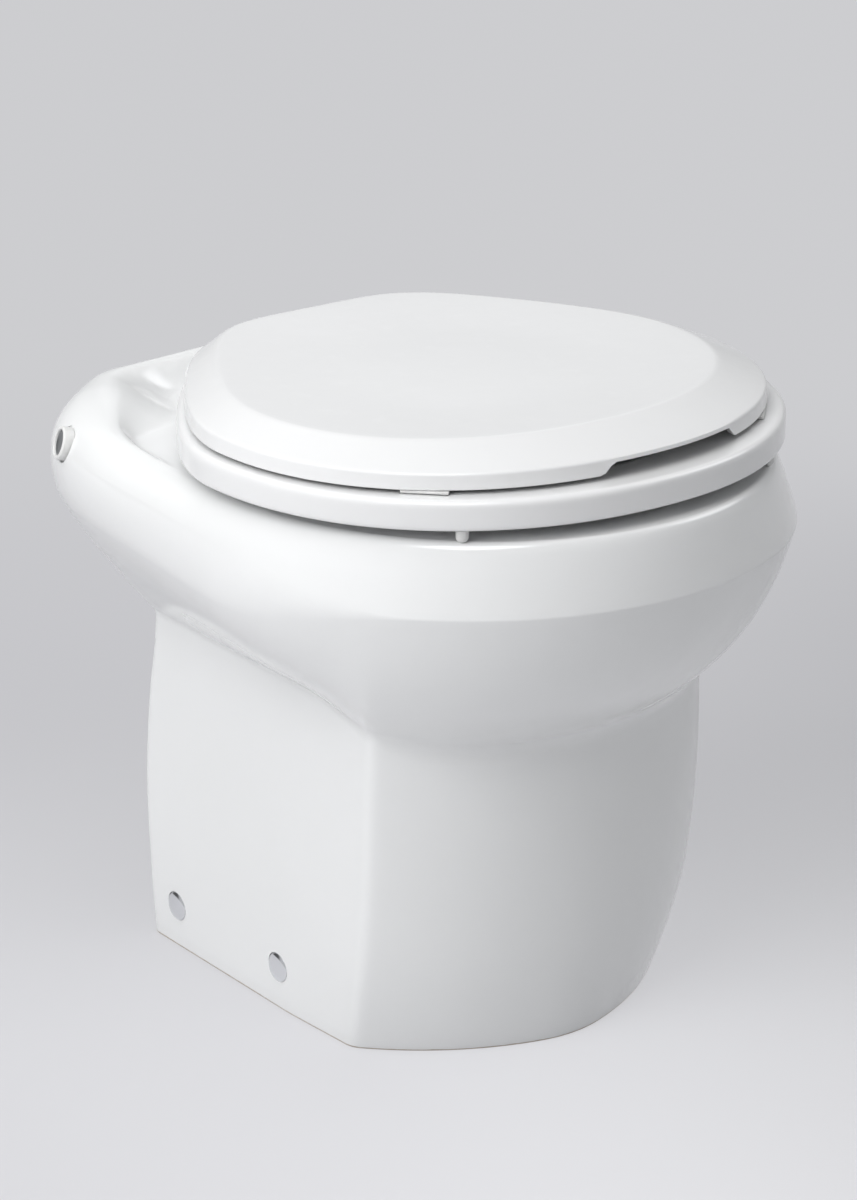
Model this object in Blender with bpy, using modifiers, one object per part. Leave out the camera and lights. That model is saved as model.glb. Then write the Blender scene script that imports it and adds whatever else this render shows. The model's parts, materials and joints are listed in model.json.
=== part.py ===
"""Electric marine toilet: one china casting with a macerator pump in its pedestal.

Metres, +Z up. The front faces -Y, the wall side is +Y, and X runs across.
The origin is on the floor, below the middle of the casting.
"""

import bisect
import math

import bmesh
import bpy
import numpy as np
from mathutils import Matrix, Vector
from mathutils.bvhtree import BVHTree

# Shared clearances and overruns
SEAT_GAP = 0.0003
RUNNING_GAP = 0.0001
OVERRUN = 0.004
MERGE = 0.00001

# Casting: belt line, rim and ridge
BELT_HALF_WIDTH = 0.188
BELT_FRONT = 0.187
BELT_REAR = 0.222
REAR_POWER = 5.0
RIM_HEIGHT = 0.335
BAND_HEIGHT = 0.039
BELT_HEIGHT = RIM_HEIGHT - BAND_HEIGHT
BELT_RISE = 0.012
RIDGE_RISE = 0.019
RIDGE_HEIGHT = RIM_HEIGHT + RIDGE_RISE
RIDGE_END_SHARE = 0.82
BAND_INSET = 0.016
SIDE_ROLL = 0.026
CREST_SETBACK = 0.019
CREST_REAR = BELT_REAR - CREST_SETBACK
CREST_END_INSET = 0.052
CREST_END_X = BELT_HALF_WIDTH - CREST_END_INSET
CREST_END_DEPTH = 0.031
CREST_END_Y = CREST_REAR - CREST_END_DEPTH
CREST_SIDE_RADIUS = 0.030
CREST_END_RADIUS = 0.020
CREST_REAR_RADIUS = 0.015
RIM_SIDE_ROLL = 0.004
RIM_FRONT_ROLL = 0.011
DECK_HALF_WIDTH = BELT_HALF_WIDTH - SIDE_ROLL - RIM_SIDE_ROLL
DECK_FRONT = BELT_FRONT - BAND_INSET - RIM_FRONT_ROLL
RIDGE_SLOPE = 0.022
RIDGE_FOOT_REAR = CREST_REAR - RIDGE_SLOPE
BAY_DEPTH = 0.026
RIDGE_FOOT_SIDE = RIDGE_FOOT_REAR - BAY_DEPTH
BAY_HALF_WIDTH = 0.088
DECK_SIDE_RADIUS = 0.020
DECK_END_RADIUS = 0.008
BAY_RADIUS = 0.010
WALL = 0.010
DECK_WALL = 0.012

# Casting: pedestal
PEDESTAL_FRONT = 0.115
PEDESTAL_CORNER_X = 0.1215
PEDESTAL_CORNER_Y = 0.067
PEDESTAL_HALF_WIDTH = 0.122
PEDESTAL_REAR = 0.165
PEDESTAL_CORNER_RADIUS = 0.014
PEDESTAL_REAR_RADIUS = 0.012
PEDESTAL_FACET_BULGE = 0.009
PEDESTAL_PROW_RADIUS = 0.030
PEDESTAL_PROW_HALF_WIDTH = 0.014
PEDESTAL_SIDE_RADIUS = 0.060
UNDERSIDE_HEIGHT = 0.081
JUNCTION_RISE = 0.020
JUNCTION_REAR = BELT_HEIGHT - UNDERSIDE_HEIGHT
JUNCTION_FRONT = JUNCTION_REAR - JUNCTION_RISE
JUNCTION_FILLET = 0.007
JUNCTION_LIP = 0.005
FOOT_CHAMFER = 0.003
PEDESTAL_CENTRE = 0.020

# Pump's place and girth, which set the height of the bowl above it
PUMP_RADIUS = 0.046
PUMP_FLOOR_GAP = 0.020
SHAFT_Z = PUMP_RADIUS + PUMP_FLOOR_GAP

# Casting: bowl and outlet
BOWL_SIDE_LAND = 0.024
BOWL_FRONT_LAND = 0.014
HINGE_LAND = 0.029
BOWL_HALF_WIDTH = DECK_HALF_WIDTH - BOWL_SIDE_LAND
BOWL_FRONT = DECK_FRONT - BOWL_FRONT_LAND
BOWL_REAR = RIDGE_FOOT_SIDE - HINGE_LAND
BOWL_EDGE = 0.005
OUTLET_SETBACK = 0.081
OUTLET_Y = PEDESTAL_REAR - OUTLET_SETBACK
OUTLET_BORE = 0.019
SPIGOT_RADIUS = 0.026
SPIGOT_LIFT = 0.029
SPIGOT_LENGTH = 0.035
SPIGOT_BOTTOM = SHAFT_Z + PUMP_RADIUS + SPIGOT_LIFT
BOWL_FLOOR = SPIGOT_BOTTOM + SPIGOT_LENGTH

# Seat and lid
SEAT_SIDE_INSET = 0.010
SEAT_FRONT_INSET = 0.016
SEAT_BAY_GAP = 0.015
SEAT_HALF_WIDTH = BELT_HALF_WIDTH - SEAT_SIDE_INSET
SEAT_FRONT = BELT_FRONT - SEAT_FRONT_INSET
SEAT_REAR = RIDGE_FOOT_REAR - SEAT_BAY_GAP
SEAT_POWER = 2.1
SEAT_SIDE_LAND = 0.024
SEAT_FRONT_LAND = 0.016
SEAT_REAR_LAND = 0.010
SEAT_HOLE_HALF_WIDTH = BOWL_HALF_WIDTH - SEAT_SIDE_LAND
SEAT_HOLE_FRONT = BOWL_FRONT - SEAT_FRONT_LAND
SEAT_HOLE_REAR = BOWL_REAR - SEAT_REAR_LAND
SEAT_LIFT = 0.0075
SEAT_THICKNESS = 0.017
SEAT_BOTTOM = RIM_HEIGHT + SEAT_LIFT
SEAT_TOP = SEAT_BOTTOM + SEAT_THICKNESS
SEAT_ROUND = 0.006
SEAT_RECESS = 0.004
SEAT_RIB = 0.012
LID_SIDE_INSET = 0.0065
LID_FRONT_INSET = 0.015
LID_HALF_WIDTH = SEAT_HALF_WIDTH - LID_SIDE_INSET
LID_FRONT = SEAT_FRONT - LID_FRONT_INSET
LID_REAR = SEAT_REAR
LID_POWER = 2.1
LID_LIFT = 0.002
LID_SKIRT = 0.009
LID_RISE = 0.010
LID_BOTTOM = SEAT_TOP + LID_LIFT
LID_SKIRT_TOP = LID_BOTTOM + LID_SKIRT
LID_TOP = LID_SKIRT_TOP + LID_RISE
LID_CHAMFER_FRONT = 0.034
LID_CHAMFER_SIDE = 0.025
LID_CHAMFER_REAR = 0.009
LID_WALL = 0.005
LID_DISH = 0.0015
NOTCH_CENTRE = 0.023
NOTCH_HALF_WIDTH = 0.045
NOTCH_SLOPE = 0.006
NOTCH_HEIGHT = 0.0065

# Hinge
HINGE_BAY_GAP = 0.024
HINGE_RISE = 0.0085
HINGE_X = 0.068
HINGE_Y = RIDGE_FOOT_REAR - HINGE_BAY_GAP
HINGE_Z = SEAT_BOTTOM + HINGE_RISE
PIN_RADIUS = 0.0035
PIN_GRIP = 0.009
EAR_RADIUS = 0.0075
EAR_INNER = 0.013
EAR_OUTER = 0.011
EAR_REACH = 0.024
LUG_RADIUS = 0.007
LUG_DEPTH = 0.008
NOTCH_BACK = 0.0105
POST_WIDTH = 0.013
POST_DEPTH = 0.013
POST_BASE_RADIUS = 0.014
POST_BASE_HEIGHT = 0.003
LUG_WIDTH = 0.010
HINGE_SIDE_GAP = 0.0006
STUD_RADIUS = 0.004
STUD_HOLE_RADIUS = 0.006
STUD_LENGTH = 0.030
WASHER_RADIUS = 0.013
WASHER_HEIGHT = 0.003
WING_NUT_RADIUS = 0.007
WING_NUT_HEIGHT = 0.007
WING_SPAN = 0.015
WING_THICKNESS = 0.003

# Bumpers, by their directions from the front
SEAT_BUMPER_RADIUS = 0.0055
SEAT_BUMPER_ROUND = 0.002
SEAT_BUMPER_ANGLES = {"front": math.radians(39.0), "rear": math.radians(128.0)}
LID_BUMPER_LENGTH = 0.026
LID_BUMPER_WIDTH = 0.0045
LID_BUMPER_ANGLE = math.radians(46.0)

# Flush button in the right-hand end of the ridge
BUTTON_INSET = 0.038
BUTTON_SETBACK = 0.057
BUTTON_DROP = 0.0145
BUTTON_AIM_X = BELT_HALF_WIDTH - BUTTON_INSET
BUTTON_AIM_Y = CREST_REAR - BUTTON_SETBACK
BUTTON_AIM_Z = RIM_HEIGHT - BUTTON_DROP
BUTTON_YAW = math.radians(18.0)
BUTTON_PITCH = math.radians(17.0)
BEZEL_RADIUS = 0.011
BEZEL_PROUD = 0.007
BEZEL_ROUND = 0.0025
BEZEL_SEAT_DEPTH = 0.002
BARREL_RADIUS = 0.0092
BARREL_LENGTH = 0.017
BUTTON_RADIUS = 0.0076
BUTTON_RECESS = 0.001
BUTTON_HEIGHT = 0.006
BUTTON_TRAVEL = 0.003
SWITCH_LENGTH = 0.006
SWITCH_RADIUS = 0.0062
NUT_RADIUS = 0.0125
NUT_HEIGHT = 0.004

# Side fixings
FRONT_FIXING_Y = 0.028
REAR_FIXING_SETBACK = 0.030
FIXING_Y = (FRONT_FIXING_Y, PEDESTAL_REAR - REAR_FIXING_SETBACK)
FIXING_Z = 0.028
CAP_RADIUS = 0.009
CAP_DOME = 0.003
CAP_RIM = 0.0008
SCREW_RADIUS = 0.0025
SCREW_HOLE_RADIUS = 0.0032
SCREW_HEAD_RADIUS = 0.006
SCREW_HEAD_HEIGHT = 0.003
SCREW_LENGTH = 0.018
HEAD_POCKET_RADIUS = 0.0075
HEAD_POCKET_DEPTH = 0.004
BRACKET_THICKNESS = 0.004
BRACKET_HEIGHT = 0.042
BRACKET_WIDTH = 0.034
BRACKET_END_GAP = 0.026
BRACKET_START = 0.012
BRACKET_END = PEDESTAL_REAR - BRACKET_END_GAP
FLOOR_HOLE_Y = (0.050, 0.086)
FLOOR_HOLE_RADIUS = 0.004

# Macerator pump
MOTOR_STEP = 0.010
MOTOR_RADIUS = PUMP_RADIUS - MOTOR_STEP
MOTOR_NOSE_GAP = 0.049
MOTOR_FRONT = MOTOR_NOSE_GAP - PEDESTAL_FRONT
INLET_OFFSET = 0.058
MOTOR_BACK = OUTLET_Y - INLET_OFFSET
MOTOR_CAP = 0.010
MOTOR_BORE_DEPTH = 0.030
BACK_PLATE_STEP = 0.003
BACK_PLATE_RADIUS = PUMP_RADIUS - BACK_PLATE_STEP
BACK_PLATE_LENGTH = 0.012
PUMP_WALL = 0.008
PUMP_BORE = PUMP_RADIUS - PUMP_WALL
VOLUTE_LENGTH = 0.027
CHOPPER_THICKNESS = 0.003
CHAMBER_LENGTH = 0.042
COVER_LENGTH = 0.007
SHAFT_RADIUS = 0.004
SEAL_RADIUS = 0.009
SEAL_LENGTH = 0.006
IMPELLER_TIP_GAP = 0.004
IMPELLER_RADIUS = PUMP_BORE - IMPELLER_TIP_GAP
IMPELLER_HUB = 0.009
IMPELLER_DISC = 0.003
VANE_COUNT = 6
VANE_THICKNESS = 0.0025
VANE_HEIGHT = 0.012
BLADE_TIP_GAP = 0.007
BLADE_RADIUS = PUMP_BORE - BLADE_TIP_GAP
BLADE_WIDTH = 0.009
BLADE_THICKNESS = 0.003
PUMP_CLEARANCE = 0.0012
INLET_STEP = 0.006
INLET_RADIUS = 0.020
INLET_BORE = 0.016
INLET_TOP = SPIGOT_BOTTOM - INLET_STEP
PORT_RADIUS = 0.013
PORT_BORE = 0.0095
PORT_INSET = 0.012
PORT_REACH = 0.0065
PORT_OFFSET = PUMP_BORE - PORT_INSET
PORT_END = PUMP_RADIUS + PORT_REACH
SLEEVE_WALL = 0.0035
SLEEVE_LOWER = 0.0165
SLEEVE_UPPER = 0.0205
SLEEVE_BOTTOM = INLET_TOP - SLEEVE_LOWER
SLEEVE_TOP = SPIGOT_BOTTOM + SLEEVE_UPPER
CLAMP_WIDTH = 0.008
CLAMP_THICKNESS = 0.0015
CRADLE_HALF_WIDTH = 0.030
CRADLE_PLATE = 0.003
CRADLE_SETBACK = 0.016
CRADLE_REACH = 0.001
CRADLE_FRONT = MOTOR_FRONT + CRADLE_SETBACK
CRADLE_REAR = OUTLET_Y + CRADLE_REACH
SADDLE_THICKNESS = 0.006
PAD_HEIGHT = 0.003

# Discharge
JOKER_LENGTH = 0.010
JOKER_FLANGE = 0.002
JOKER_WALL = 0.0012
JOKER_BASE = 0.0072
UNION_RADIUS = 0.0175
UNION_GRIP = 0.005
UNION_LIP = 0.003
ELBOW_RADIUS = 0.011
ELBOW_BORE = 0.0088
ELBOW_FLANGE = 0.0145
ELBOW_NECK = 0.009
ELBOW_START = PORT_END + ELBOW_NECK
ELBOW_BEND = 0.013
TAIL_REACH = 0.009
TAIL_END = PEDESTAL_REAR + TAIL_REACH

# Casting: rear arch, round the hose tail
ARCH_SIDE_GAP = 0.0065
ARCH_HALF_WIDTH = ELBOW_START + ELBOW_BEND + ELBOW_RADIUS + ARCH_SIDE_GAP
ARCH_TOP_GAP = 0.039
ARCH_HEIGHT = JUNCTION_REAR - ARCH_TOP_GAP
ARCH_RADIUS = 0.040

# Rinse valve and hose
RINSE_WALL_GAP = 0.042
RINSE_REAR_GAP = 0.061
RINSE_X = RINSE_WALL_GAP - PEDESTAL_HALF_WIDTH
RINSE_Y = PEDESTAL_REAR - RINSE_REAR_GAP
RINSE_BOTTOM = 0.053
RINSE_WIDTH = 0.026
RINSE_DEPTH = 0.042
RINSE_HEIGHT = 0.018
RINSE_BARB_RADIUS = 0.0055
RINSE_BARB_LENGTH = 0.018
OUTLET_BARB_BACK = 0.012
COIL_FORWARD = 0.010
COIL_HEIGHT = 0.026
COIL_WIDTH = 0.024
COIL_CAP = 0.003
PLUNGER_RADIUS = 0.004
PLUNGER_HEIGHT = 0.020
PLUNGER_SEAT = 0.005
SPRING_WIRE = 0.0004
SPRING_RADIUS = 0.0030
SPRING_TURNS = 4
STAND_THICKNESS = 0.003
STAND_WIDTH = 0.020
STAND_FOOT = 0.016
HOSE_RADIUS = 0.0085
SPUD_RADIUS = 0.0065
SPUD_X = -0.030
SPUD_BELOW_RIM = 0.039
SPUD_Z = RIM_HEIGHT - SPUD_BELOW_RIM
SPUD_OUT = 0.023
SPUD_DROP = 0.024
SPUD_REACH = 0.004

# Directions around the casting, in degrees from the front, for one half
HALF_ANGLES = (
    0, 11, 22, 32, 41, 48, 52.5, 55.5, 58.5, 66, 77, 89, 101,
    112, 121, 129, 136, 138.5, 141.5, 146, 150, 154.5, 162, 171, 180,
)
FRONT_CORNER = math.radians(55.5)
REAR_CORNER = math.radians(138.5)


def full_angles():
    """The directions of a whole ring in radians, going round once."""
    half = [math.radians(a) for a in HALF_ANGLES]
    return half + [2 * math.pi - a for a in reversed(half[1:-1])]


ANGLES = full_angles()
SEAT_ANGLES = [2.0 * math.pi * k / 36 for k in range(36)]


def fold(angle):
    """The same direction on the modelled half."""
    return angle if angle <= math.pi else 2 * math.pi - angle


def smooth(value, low, high):
    """0 below low, 1 above high, an eased step between."""
    t = min(max((value - low) / (high - low), 0.0), 1.0)
    return t * t * (3.0 - 2.0 * t)


def blend(a, b, t):
    return a + (b - a) * t


# Plan outlines, each a radius for a direction from a centre on the middle line


def egg(half_width, front, rear, power):
    """An ellipse in front, squared off behind by the power."""

    def radius(angle):
        side = abs(math.sin(angle)) / half_width
        along = math.cos(angle)
        if along >= 0.0:
            return (side**2 + (along / front) ** 2) ** -0.5
        return (side**power + (-along / rear) ** power) ** (-1.0 / power)

    return radius


def filleted(corners, steps=8):
    """Points along a path of (x, y, fillet radius) corners with arcs at the corners."""
    points = [Vector(corners[0][:2])]
    for before, corner, after in zip(corners, corners[1:], corners[2:]):
        here = Vector(corner[:2])
        to_before = (Vector(before[:2]) - here).normalized()
        to_after = (Vector(after[:2]) - here).normalized()
        half = to_before.angle(to_after) / 2.0
        back = corner[2] / math.tan(half)
        centre = here + (to_before + to_after).normalized() * corner[2] / math.sin(half)
        start = here + to_before * back - centre
        end = here + to_after * back - centre
        turn = start.angle_signed(end)
        for k in range(steps + 1):
            arm = Matrix.Rotation(-turn * k / steps, 2) @ start
            points.append(centre + arm)
    points.append(Vector(corners[-1][:2]))
    return points


def traced(points, centre_y):
    """The radius of a half outline, seen from a centre on the middle line."""
    arms = [Vector((p.x, centre_y - p.y)) for p in points]
    angles = [math.atan2(arm.x, arm.y) for arm in arms]

    def radius(angle):
        at = fold(angle)
        k = min(max(bisect.bisect(angles, at), 1), len(arms) - 1)
        along = arms[k] - arms[k - 1]
        look = Vector((math.sin(at), math.cos(at)))
        return arms[k - 1].cross(along) / look.cross(along)

    return radius


def inset(outline, depth):
    """The same outline, smaller by a depth measured square to it."""
    step = math.radians(1.0)

    def radius(angle):
        here = outline(angle)
        low = max(fold(angle) - step, 0.0)
        high = min(fold(angle) + step, math.pi)
        slope = (outline(high) - outline(low)) / (high - low) / here
        return here - depth * math.sqrt(1.0 + slope * slope)

    return radius


def mixed(first, second, share):
    """Between two outlines, by a share or a function of the direction."""

    def radius(angle):
        t = share(fold(angle)) if callable(share) else share
        return blend(first(angle), second(angle), t)

    return radius


def ring(outline, height, centre_y=0.0, angles=ANGLES):
    """One closed ring of points at a height or a function of the direction."""
    points = []
    for angle in angles:
        r = outline(angle)
        z = height(fold(angle)) if callable(height) else height
        points.append(Vector((r * math.sin(angle), centre_y - r * math.cos(angle), z)))
    return points


# Casting


PEDESTAL_HEIGHT_SHARES = (0.0, 0.26, 0.52, 0.78, 1.0)
PEDESTAL_FRONT_SHARES = (0.870, 0.955, 0.992, 1.0, 0.985)
PEDESTAL_CORNER_X_SHARES = (0.940, 0.988, 1.0, 1.0, 0.990)
PEDESTAL_CORNER_Y_SHARES = (0.56, 0.82, 0.94, 0.99, 1.0)
PEDESTAL_SIDE_SHARES = (0.965, 0.992, 1.0, 1.0, 0.985)
PEDESTAL_REAR_SHARES = (1.0, 1.0, 1.0, 0.965, 0.930)


def pedestal_outline(level):
    """The pedestal's plan at one of its five levels: a soft prow, two bulged facets."""
    front = PEDESTAL_FRONT * PEDESTAL_FRONT_SHARES[level]
    corner_x = PEDESTAL_CORNER_X * PEDESTAL_CORNER_X_SHARES[level]
    corner_y = PEDESTAL_CORNER_Y * PEDESTAL_CORNER_Y_SHARES[level]
    side = PEDESTAL_HALF_WIDTH * PEDESTAL_SIDE_SHARES[level]
    rear = PEDESTAL_REAR * PEDESTAL_REAR_SHARES[level]
    facet = Vector((corner_x, front - corner_y))
    outward = Vector((facet.y, facet.x)).normalized() * PEDESTAL_FACET_BULGE
    middle_x = corner_x / 2.0 + outward.x
    middle_y = (front + corner_y) / 2.0 + outward.y
    corners = (
        (0.0, -front, 0.0),
        (PEDESTAL_PROW_HALF_WIDTH, -front, PEDESTAL_PROW_RADIUS),
        (middle_x, -middle_y, PEDESTAL_SIDE_RADIUS),
        (corner_x, -corner_y, PEDESTAL_CORNER_RADIUS),
        (side, PEDESTAL_CENTRE, PEDESTAL_SIDE_RADIUS),
        (side, rear, PEDESTAL_REAR_RADIUS),
        (0.0, rear, 0.0),
    )
    return traced(filleted(corners), PEDESTAL_CENTRE)


def pedestal_angles(level):
    """The ring's directions, shifted so that the same ones meet both corners."""
    corner_x = PEDESTAL_CORNER_X * PEDESTAL_CORNER_X_SHARES[level]
    corner_y = PEDESTAL_CORNER_Y * PEDESTAL_CORNER_Y_SHARES[level]
    side = PEDESTAL_HALF_WIDTH * PEDESTAL_SIDE_SHARES[level]
    rear = PEDESTAL_REAR * PEDESTAL_REAR_SHARES[level]
    front_corner = math.atan2(corner_x, corner_y + PEDESTAL_CENTRE)
    rear_corner = math.atan2(side, PEDESTAL_CENTRE - rear)
    known = (0.0, FRONT_CORNER, REAR_CORNER, math.pi)
    half = [
        float(np.interp(math.radians(a), known, (0.0, front_corner, rear_corner, math.pi)))
        for a in HALF_ANGLES
    ]
    return half + [2 * math.pi - a for a in reversed(half[1:-1])]


def junction_height(angle):
    """Where the pedestal meets the underside: lower in front than at the sides."""
    share = smooth(angle, math.radians(30.0), math.radians(80.0))
    return blend(JUNCTION_FRONT, JUNCTION_REAR, share)


def belt_height(angle):
    return BELT_HEIGHT + BELT_RISE * smooth(angle, math.radians(60.0), math.radians(130.0))


def ridge_share(angle):
    """How much of the ridge's height the casting has in a direction."""
    rise = smooth(angle, math.radians(110.0), math.radians(144.0))
    crown = smooth(angle, math.radians(150.0), math.radians(178.0))
    return rise * blend(RIDGE_END_SHARE, 1.0, crown)


def crest_height(angle):
    return blend(RIM_HEIGHT, RIDGE_HEIGHT, ridge_share(angle))


def roll_share(angle):
    """0 where the band is crisp in front, 1 where the side rolls over softly."""
    return smooth(angle, math.radians(50.0), math.radians(105.0))


BELT = egg(BELT_HALF_WIDTH, BELT_FRONT, BELT_REAR, REAR_POWER)
OPENING = egg(BOWL_HALF_WIDTH, BOWL_FRONT, BOWL_REAR, 2.4)
OUTLET = egg(OUTLET_BORE, OUTLET_BORE, OUTLET_BORE, 2.0)
SPIGOT = egg(SPIGOT_RADIUS, SPIGOT_RADIUS, SPIGOT_RADIUS, 2.0)


def crest_outline():
    """The line along the top where the outer roll ends."""
    front = BELT_FRONT - BAND_INSET
    side = BELT_HALF_WIDTH - SIDE_ROLL
    arc = [
        Vector((side * math.sin(a), -front * math.cos(a)))
        for a in np.linspace(0.0, math.pi / 2.0, 16, endpoint=False)
    ]
    tail = filleted(
        (
            (side, 0.0, 0.0),
            (side, RIDGE_FOOT_SIDE * 0.8, CREST_SIDE_RADIUS),
            (CREST_END_X, CREST_END_Y, CREST_END_RADIUS),
            (CREST_END_X * 0.86, CREST_REAR, CREST_REAR_RADIUS),
            (0.0, CREST_REAR, 0.0),
        )
    )
    return traced(arc + tail, 0.0)


def deck_outline():
    """The deck's edge: along the rim, then the ridge's foot with its bay for the seat."""
    arc = [
        Vector((DECK_HALF_WIDTH * math.sin(a), -DECK_FRONT * math.cos(a)))
        for a in np.linspace(0.0, math.pi / 2.0, 16, endpoint=False)
    ]
    tail = filleted(
        (
            (DECK_HALF_WIDTH, 0.0, 0.0),
            (DECK_HALF_WIDTH, RIDGE_FOOT_SIDE * 0.75, DECK_SIDE_RADIUS),
            (DECK_HALF_WIDTH * 0.90, RIDGE_FOOT_SIDE * 0.97, DECK_END_RADIUS),
            (BAY_HALF_WIDTH * 1.2, RIDGE_FOOT_SIDE, BAY_RADIUS),
            (BAY_HALF_WIDTH, RIDGE_FOOT_REAR, BAY_RADIUS),
            (0.0, RIDGE_FOOT_REAR, 0.0),
        )
    )
    return traced(arc + tail, 0.0)


CREST = crest_outline()
DECK = deck_outline()

# The underside's profile from the junction to the belt, as shares of its height
UNDERSIDE_SHARES = (0.0, 0.10, 0.27, 0.50, 0.77)


def underside_reach(share, angle):
    """How far out the underside has come at a share of its height."""
    rear = smooth(angle, math.radians(85.0), math.radians(135.0))
    return 1.0 - (1.0 - share) ** blend(1.85, 1.42, rear)


def pedestal_ring(level, depth):
    """One ring of the pedestal, following the junction's height."""
    share = PEDESTAL_HEIGHT_SHARES[level]
    outline = inset(pedestal_outline(level), depth)
    return ring(
        outline,
        lambda angle: (junction_height(angle) - JUNCTION_FILLET) * share,
        PEDESTAL_CENTRE,
        pedestal_angles(level),
    )


def foot_ring(depth, height):
    """One ring of the pedestal's flat foot."""
    return ring(inset(pedestal_outline(0), depth), height, PEDESTAL_CENTRE, pedestal_angles(0))


def lip_reach(angle):
    """How far the underside overhangs the pedestal: a small lip in front only."""
    return JUNCTION_LIP * (1.0 - smooth(angle, math.radians(40.0), math.radians(75.0)))


def underside_ring(share, depth):
    """One ring of the underside, or of the cavity's wall behind it at a depth."""
    neck = pedestal_ring(len(PEDESTAL_HEIGHT_SHARES) - 1, depth)
    belt = ring(inset(BELT, depth), belt_height)
    points = []
    for angle, low, high in zip(ANGLES, neck, belt):
        lip = 0.0 if depth else lip_reach(fold(angle))
        start = low + Vector((low.x, low.y, 0.0)).normalized() * lip
        point = start.lerp(high, underside_reach(share, fold(angle)))
        point.z = blend(low.z + JUNCTION_FILLET, high.z, share)
        points.append(point)
    return points


# Band and roll: shares of the inset and of the height, crisp in front and soft behind
BAND_INSET_SHARES = (0.23, 0.53, 0.74, 0.90)
BAND_HEIGHT_SHARES = (0.36, 0.72, 0.90, 0.975)
ROLL_INSET_SHARES = (0.06, 0.24, 0.50, 0.78)
ROLL_HEIGHT_SHARES = (0.34, 0.68, 0.88, 0.975)


def band_ring(step, depth):
    """One ring between the belt and the crest."""
    inward = lambda angle: blend(BAND_INSET_SHARES[step], ROLL_INSET_SHARES[step], roll_share(angle))
    upward = lambda angle: blend(
        BAND_HEIGHT_SHARES[step], ROLL_HEIGHT_SHARES[step], roll_share(angle)
    )
    outline = mixed(BELT, CREST, inward)
    return ring(
        inset(outline, depth),
        lambda angle: blend(belt_height(angle), crest_height(angle), upward(angle)),
    )


# The bowl's inside, from the rim to the outlet: shares of the way down and in
BOWL_DEPTH_SHARES = (0.0, 0.22, 0.47, 0.72, 0.91, 1.0)
BOWL_REACH_SHARES = (0.0, 0.035, 0.15, 0.40, 0.74, 0.97)


def bowl_ring(step, wall):
    """One ring of the bowl's inside, or of its back at a wall thickness."""
    reach = BOWL_REACH_SHARES[step]
    rim = RIM_HEIGHT - BOWL_EDGE
    height = blend(rim, BOWL_FLOOR, BOWL_DEPTH_SHARES[step]) - wall * reach
    centre_y = OUTLET_Y * reach
    outline = mixed(OPENING, OUTLET, reach)
    return ring(lambda angle: outline(angle) + wall, height, centre_y)


def casting_rings():
    """The whole casting as one run of rings, round the outside, the bowl and the cavity."""
    levels = range(len(PEDESTAL_HEIGHT_SHARES))
    rings = [foot_ring(FOOT_CHAMFER, 0.0), foot_ring(0.0, FOOT_CHAMFER)]
    rings += [pedestal_ring(level, 0.0) for level in levels[1:]]
    rings += [underside_ring(share, 0.0) for share in UNDERSIDE_SHARES]
    rings.append(ring(BELT, belt_height))
    rings += [band_ring(step, 0.0) for step in range(len(BAND_INSET_SHARES))]
    rings.append(ring(CREST, crest_height))
    rings.append(ring(mixed(CREST, DECK, 0.30), lambda a: crest_height(a) - 0.1 * SEAT_GAP))
    rings.append(ring(DECK, RIM_HEIGHT))
    rings.append(ring(lambda a: OPENING(a) + BOWL_EDGE, RIM_HEIGHT))
    rings.append(ring(lambda a: OPENING(a) + BOWL_EDGE * 0.3, RIM_HEIGHT - BOWL_EDGE * 0.3))
    steps = range(len(BOWL_DEPTH_SHARES))
    rings += [bowl_ring(step, 0.0) for step in steps]
    rings.append(ring(OUTLET, BOWL_FLOOR - WALL / 2.0, OUTLET_Y))
    rings.append(ring(OUTLET, SPIGOT_BOTTOM, OUTLET_Y))
    rings.append(ring(SPIGOT, SPIGOT_BOTTOM, OUTLET_Y))
    rings.append(ring(SPIGOT, BOWL_FLOOR - WALL * 1.2, OUTLET_Y))
    rings += [bowl_ring(step, WALL) for step in reversed((1, 3, steps[-1]))]
    ceiling = RIM_HEIGHT - DECK_WALL
    rings.append(ring(lambda a: OPENING(a) + WALL * 1.15, ceiling))
    rings.append(ring(inset(mixed(CREST, DECK, 0.75), WALL * 0.2), ceiling))
    rings.append(ring(inset(CREST, WALL * 0.35), lambda a: crest_height(a) - DECK_WALL))
    rings.append(ring(inset(BELT, WALL), belt_height))
    rings += [underside_ring(share, WALL) for share in UNDERSIDE_SHARES[4:0:-2]]
    rings += [pedestal_ring(level, WALL) for level in reversed(levels[2::2])]
    rings.append(foot_ring(WALL, 0.0))
    return rings


# Scene, materials and modelling helpers


def clear_scene():
    for item in list(bpy.data.objects):
        bpy.data.objects.remove(item, do_unlink=True)


def collection(name, hidden=False):
    made = bpy.data.collections.new(name)
    bpy.context.scene.collection.children.link(made)
    made.hide_render = hidden
    return made


def material(name, colour, roughness, metallic=0.0):
    made = bpy.data.materials.new(name)
    made.use_nodes = True
    shader = made.node_tree.nodes["Principled BSDF"]
    shader.inputs["Base Color"].default_value = (*colour, 1.0)
    shader.inputs["Roughness"].default_value = roughness
    shader.inputs["Metallic"].default_value = metallic
    made.diffuse_color = (*colour, 1.0)
    return made


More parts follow.
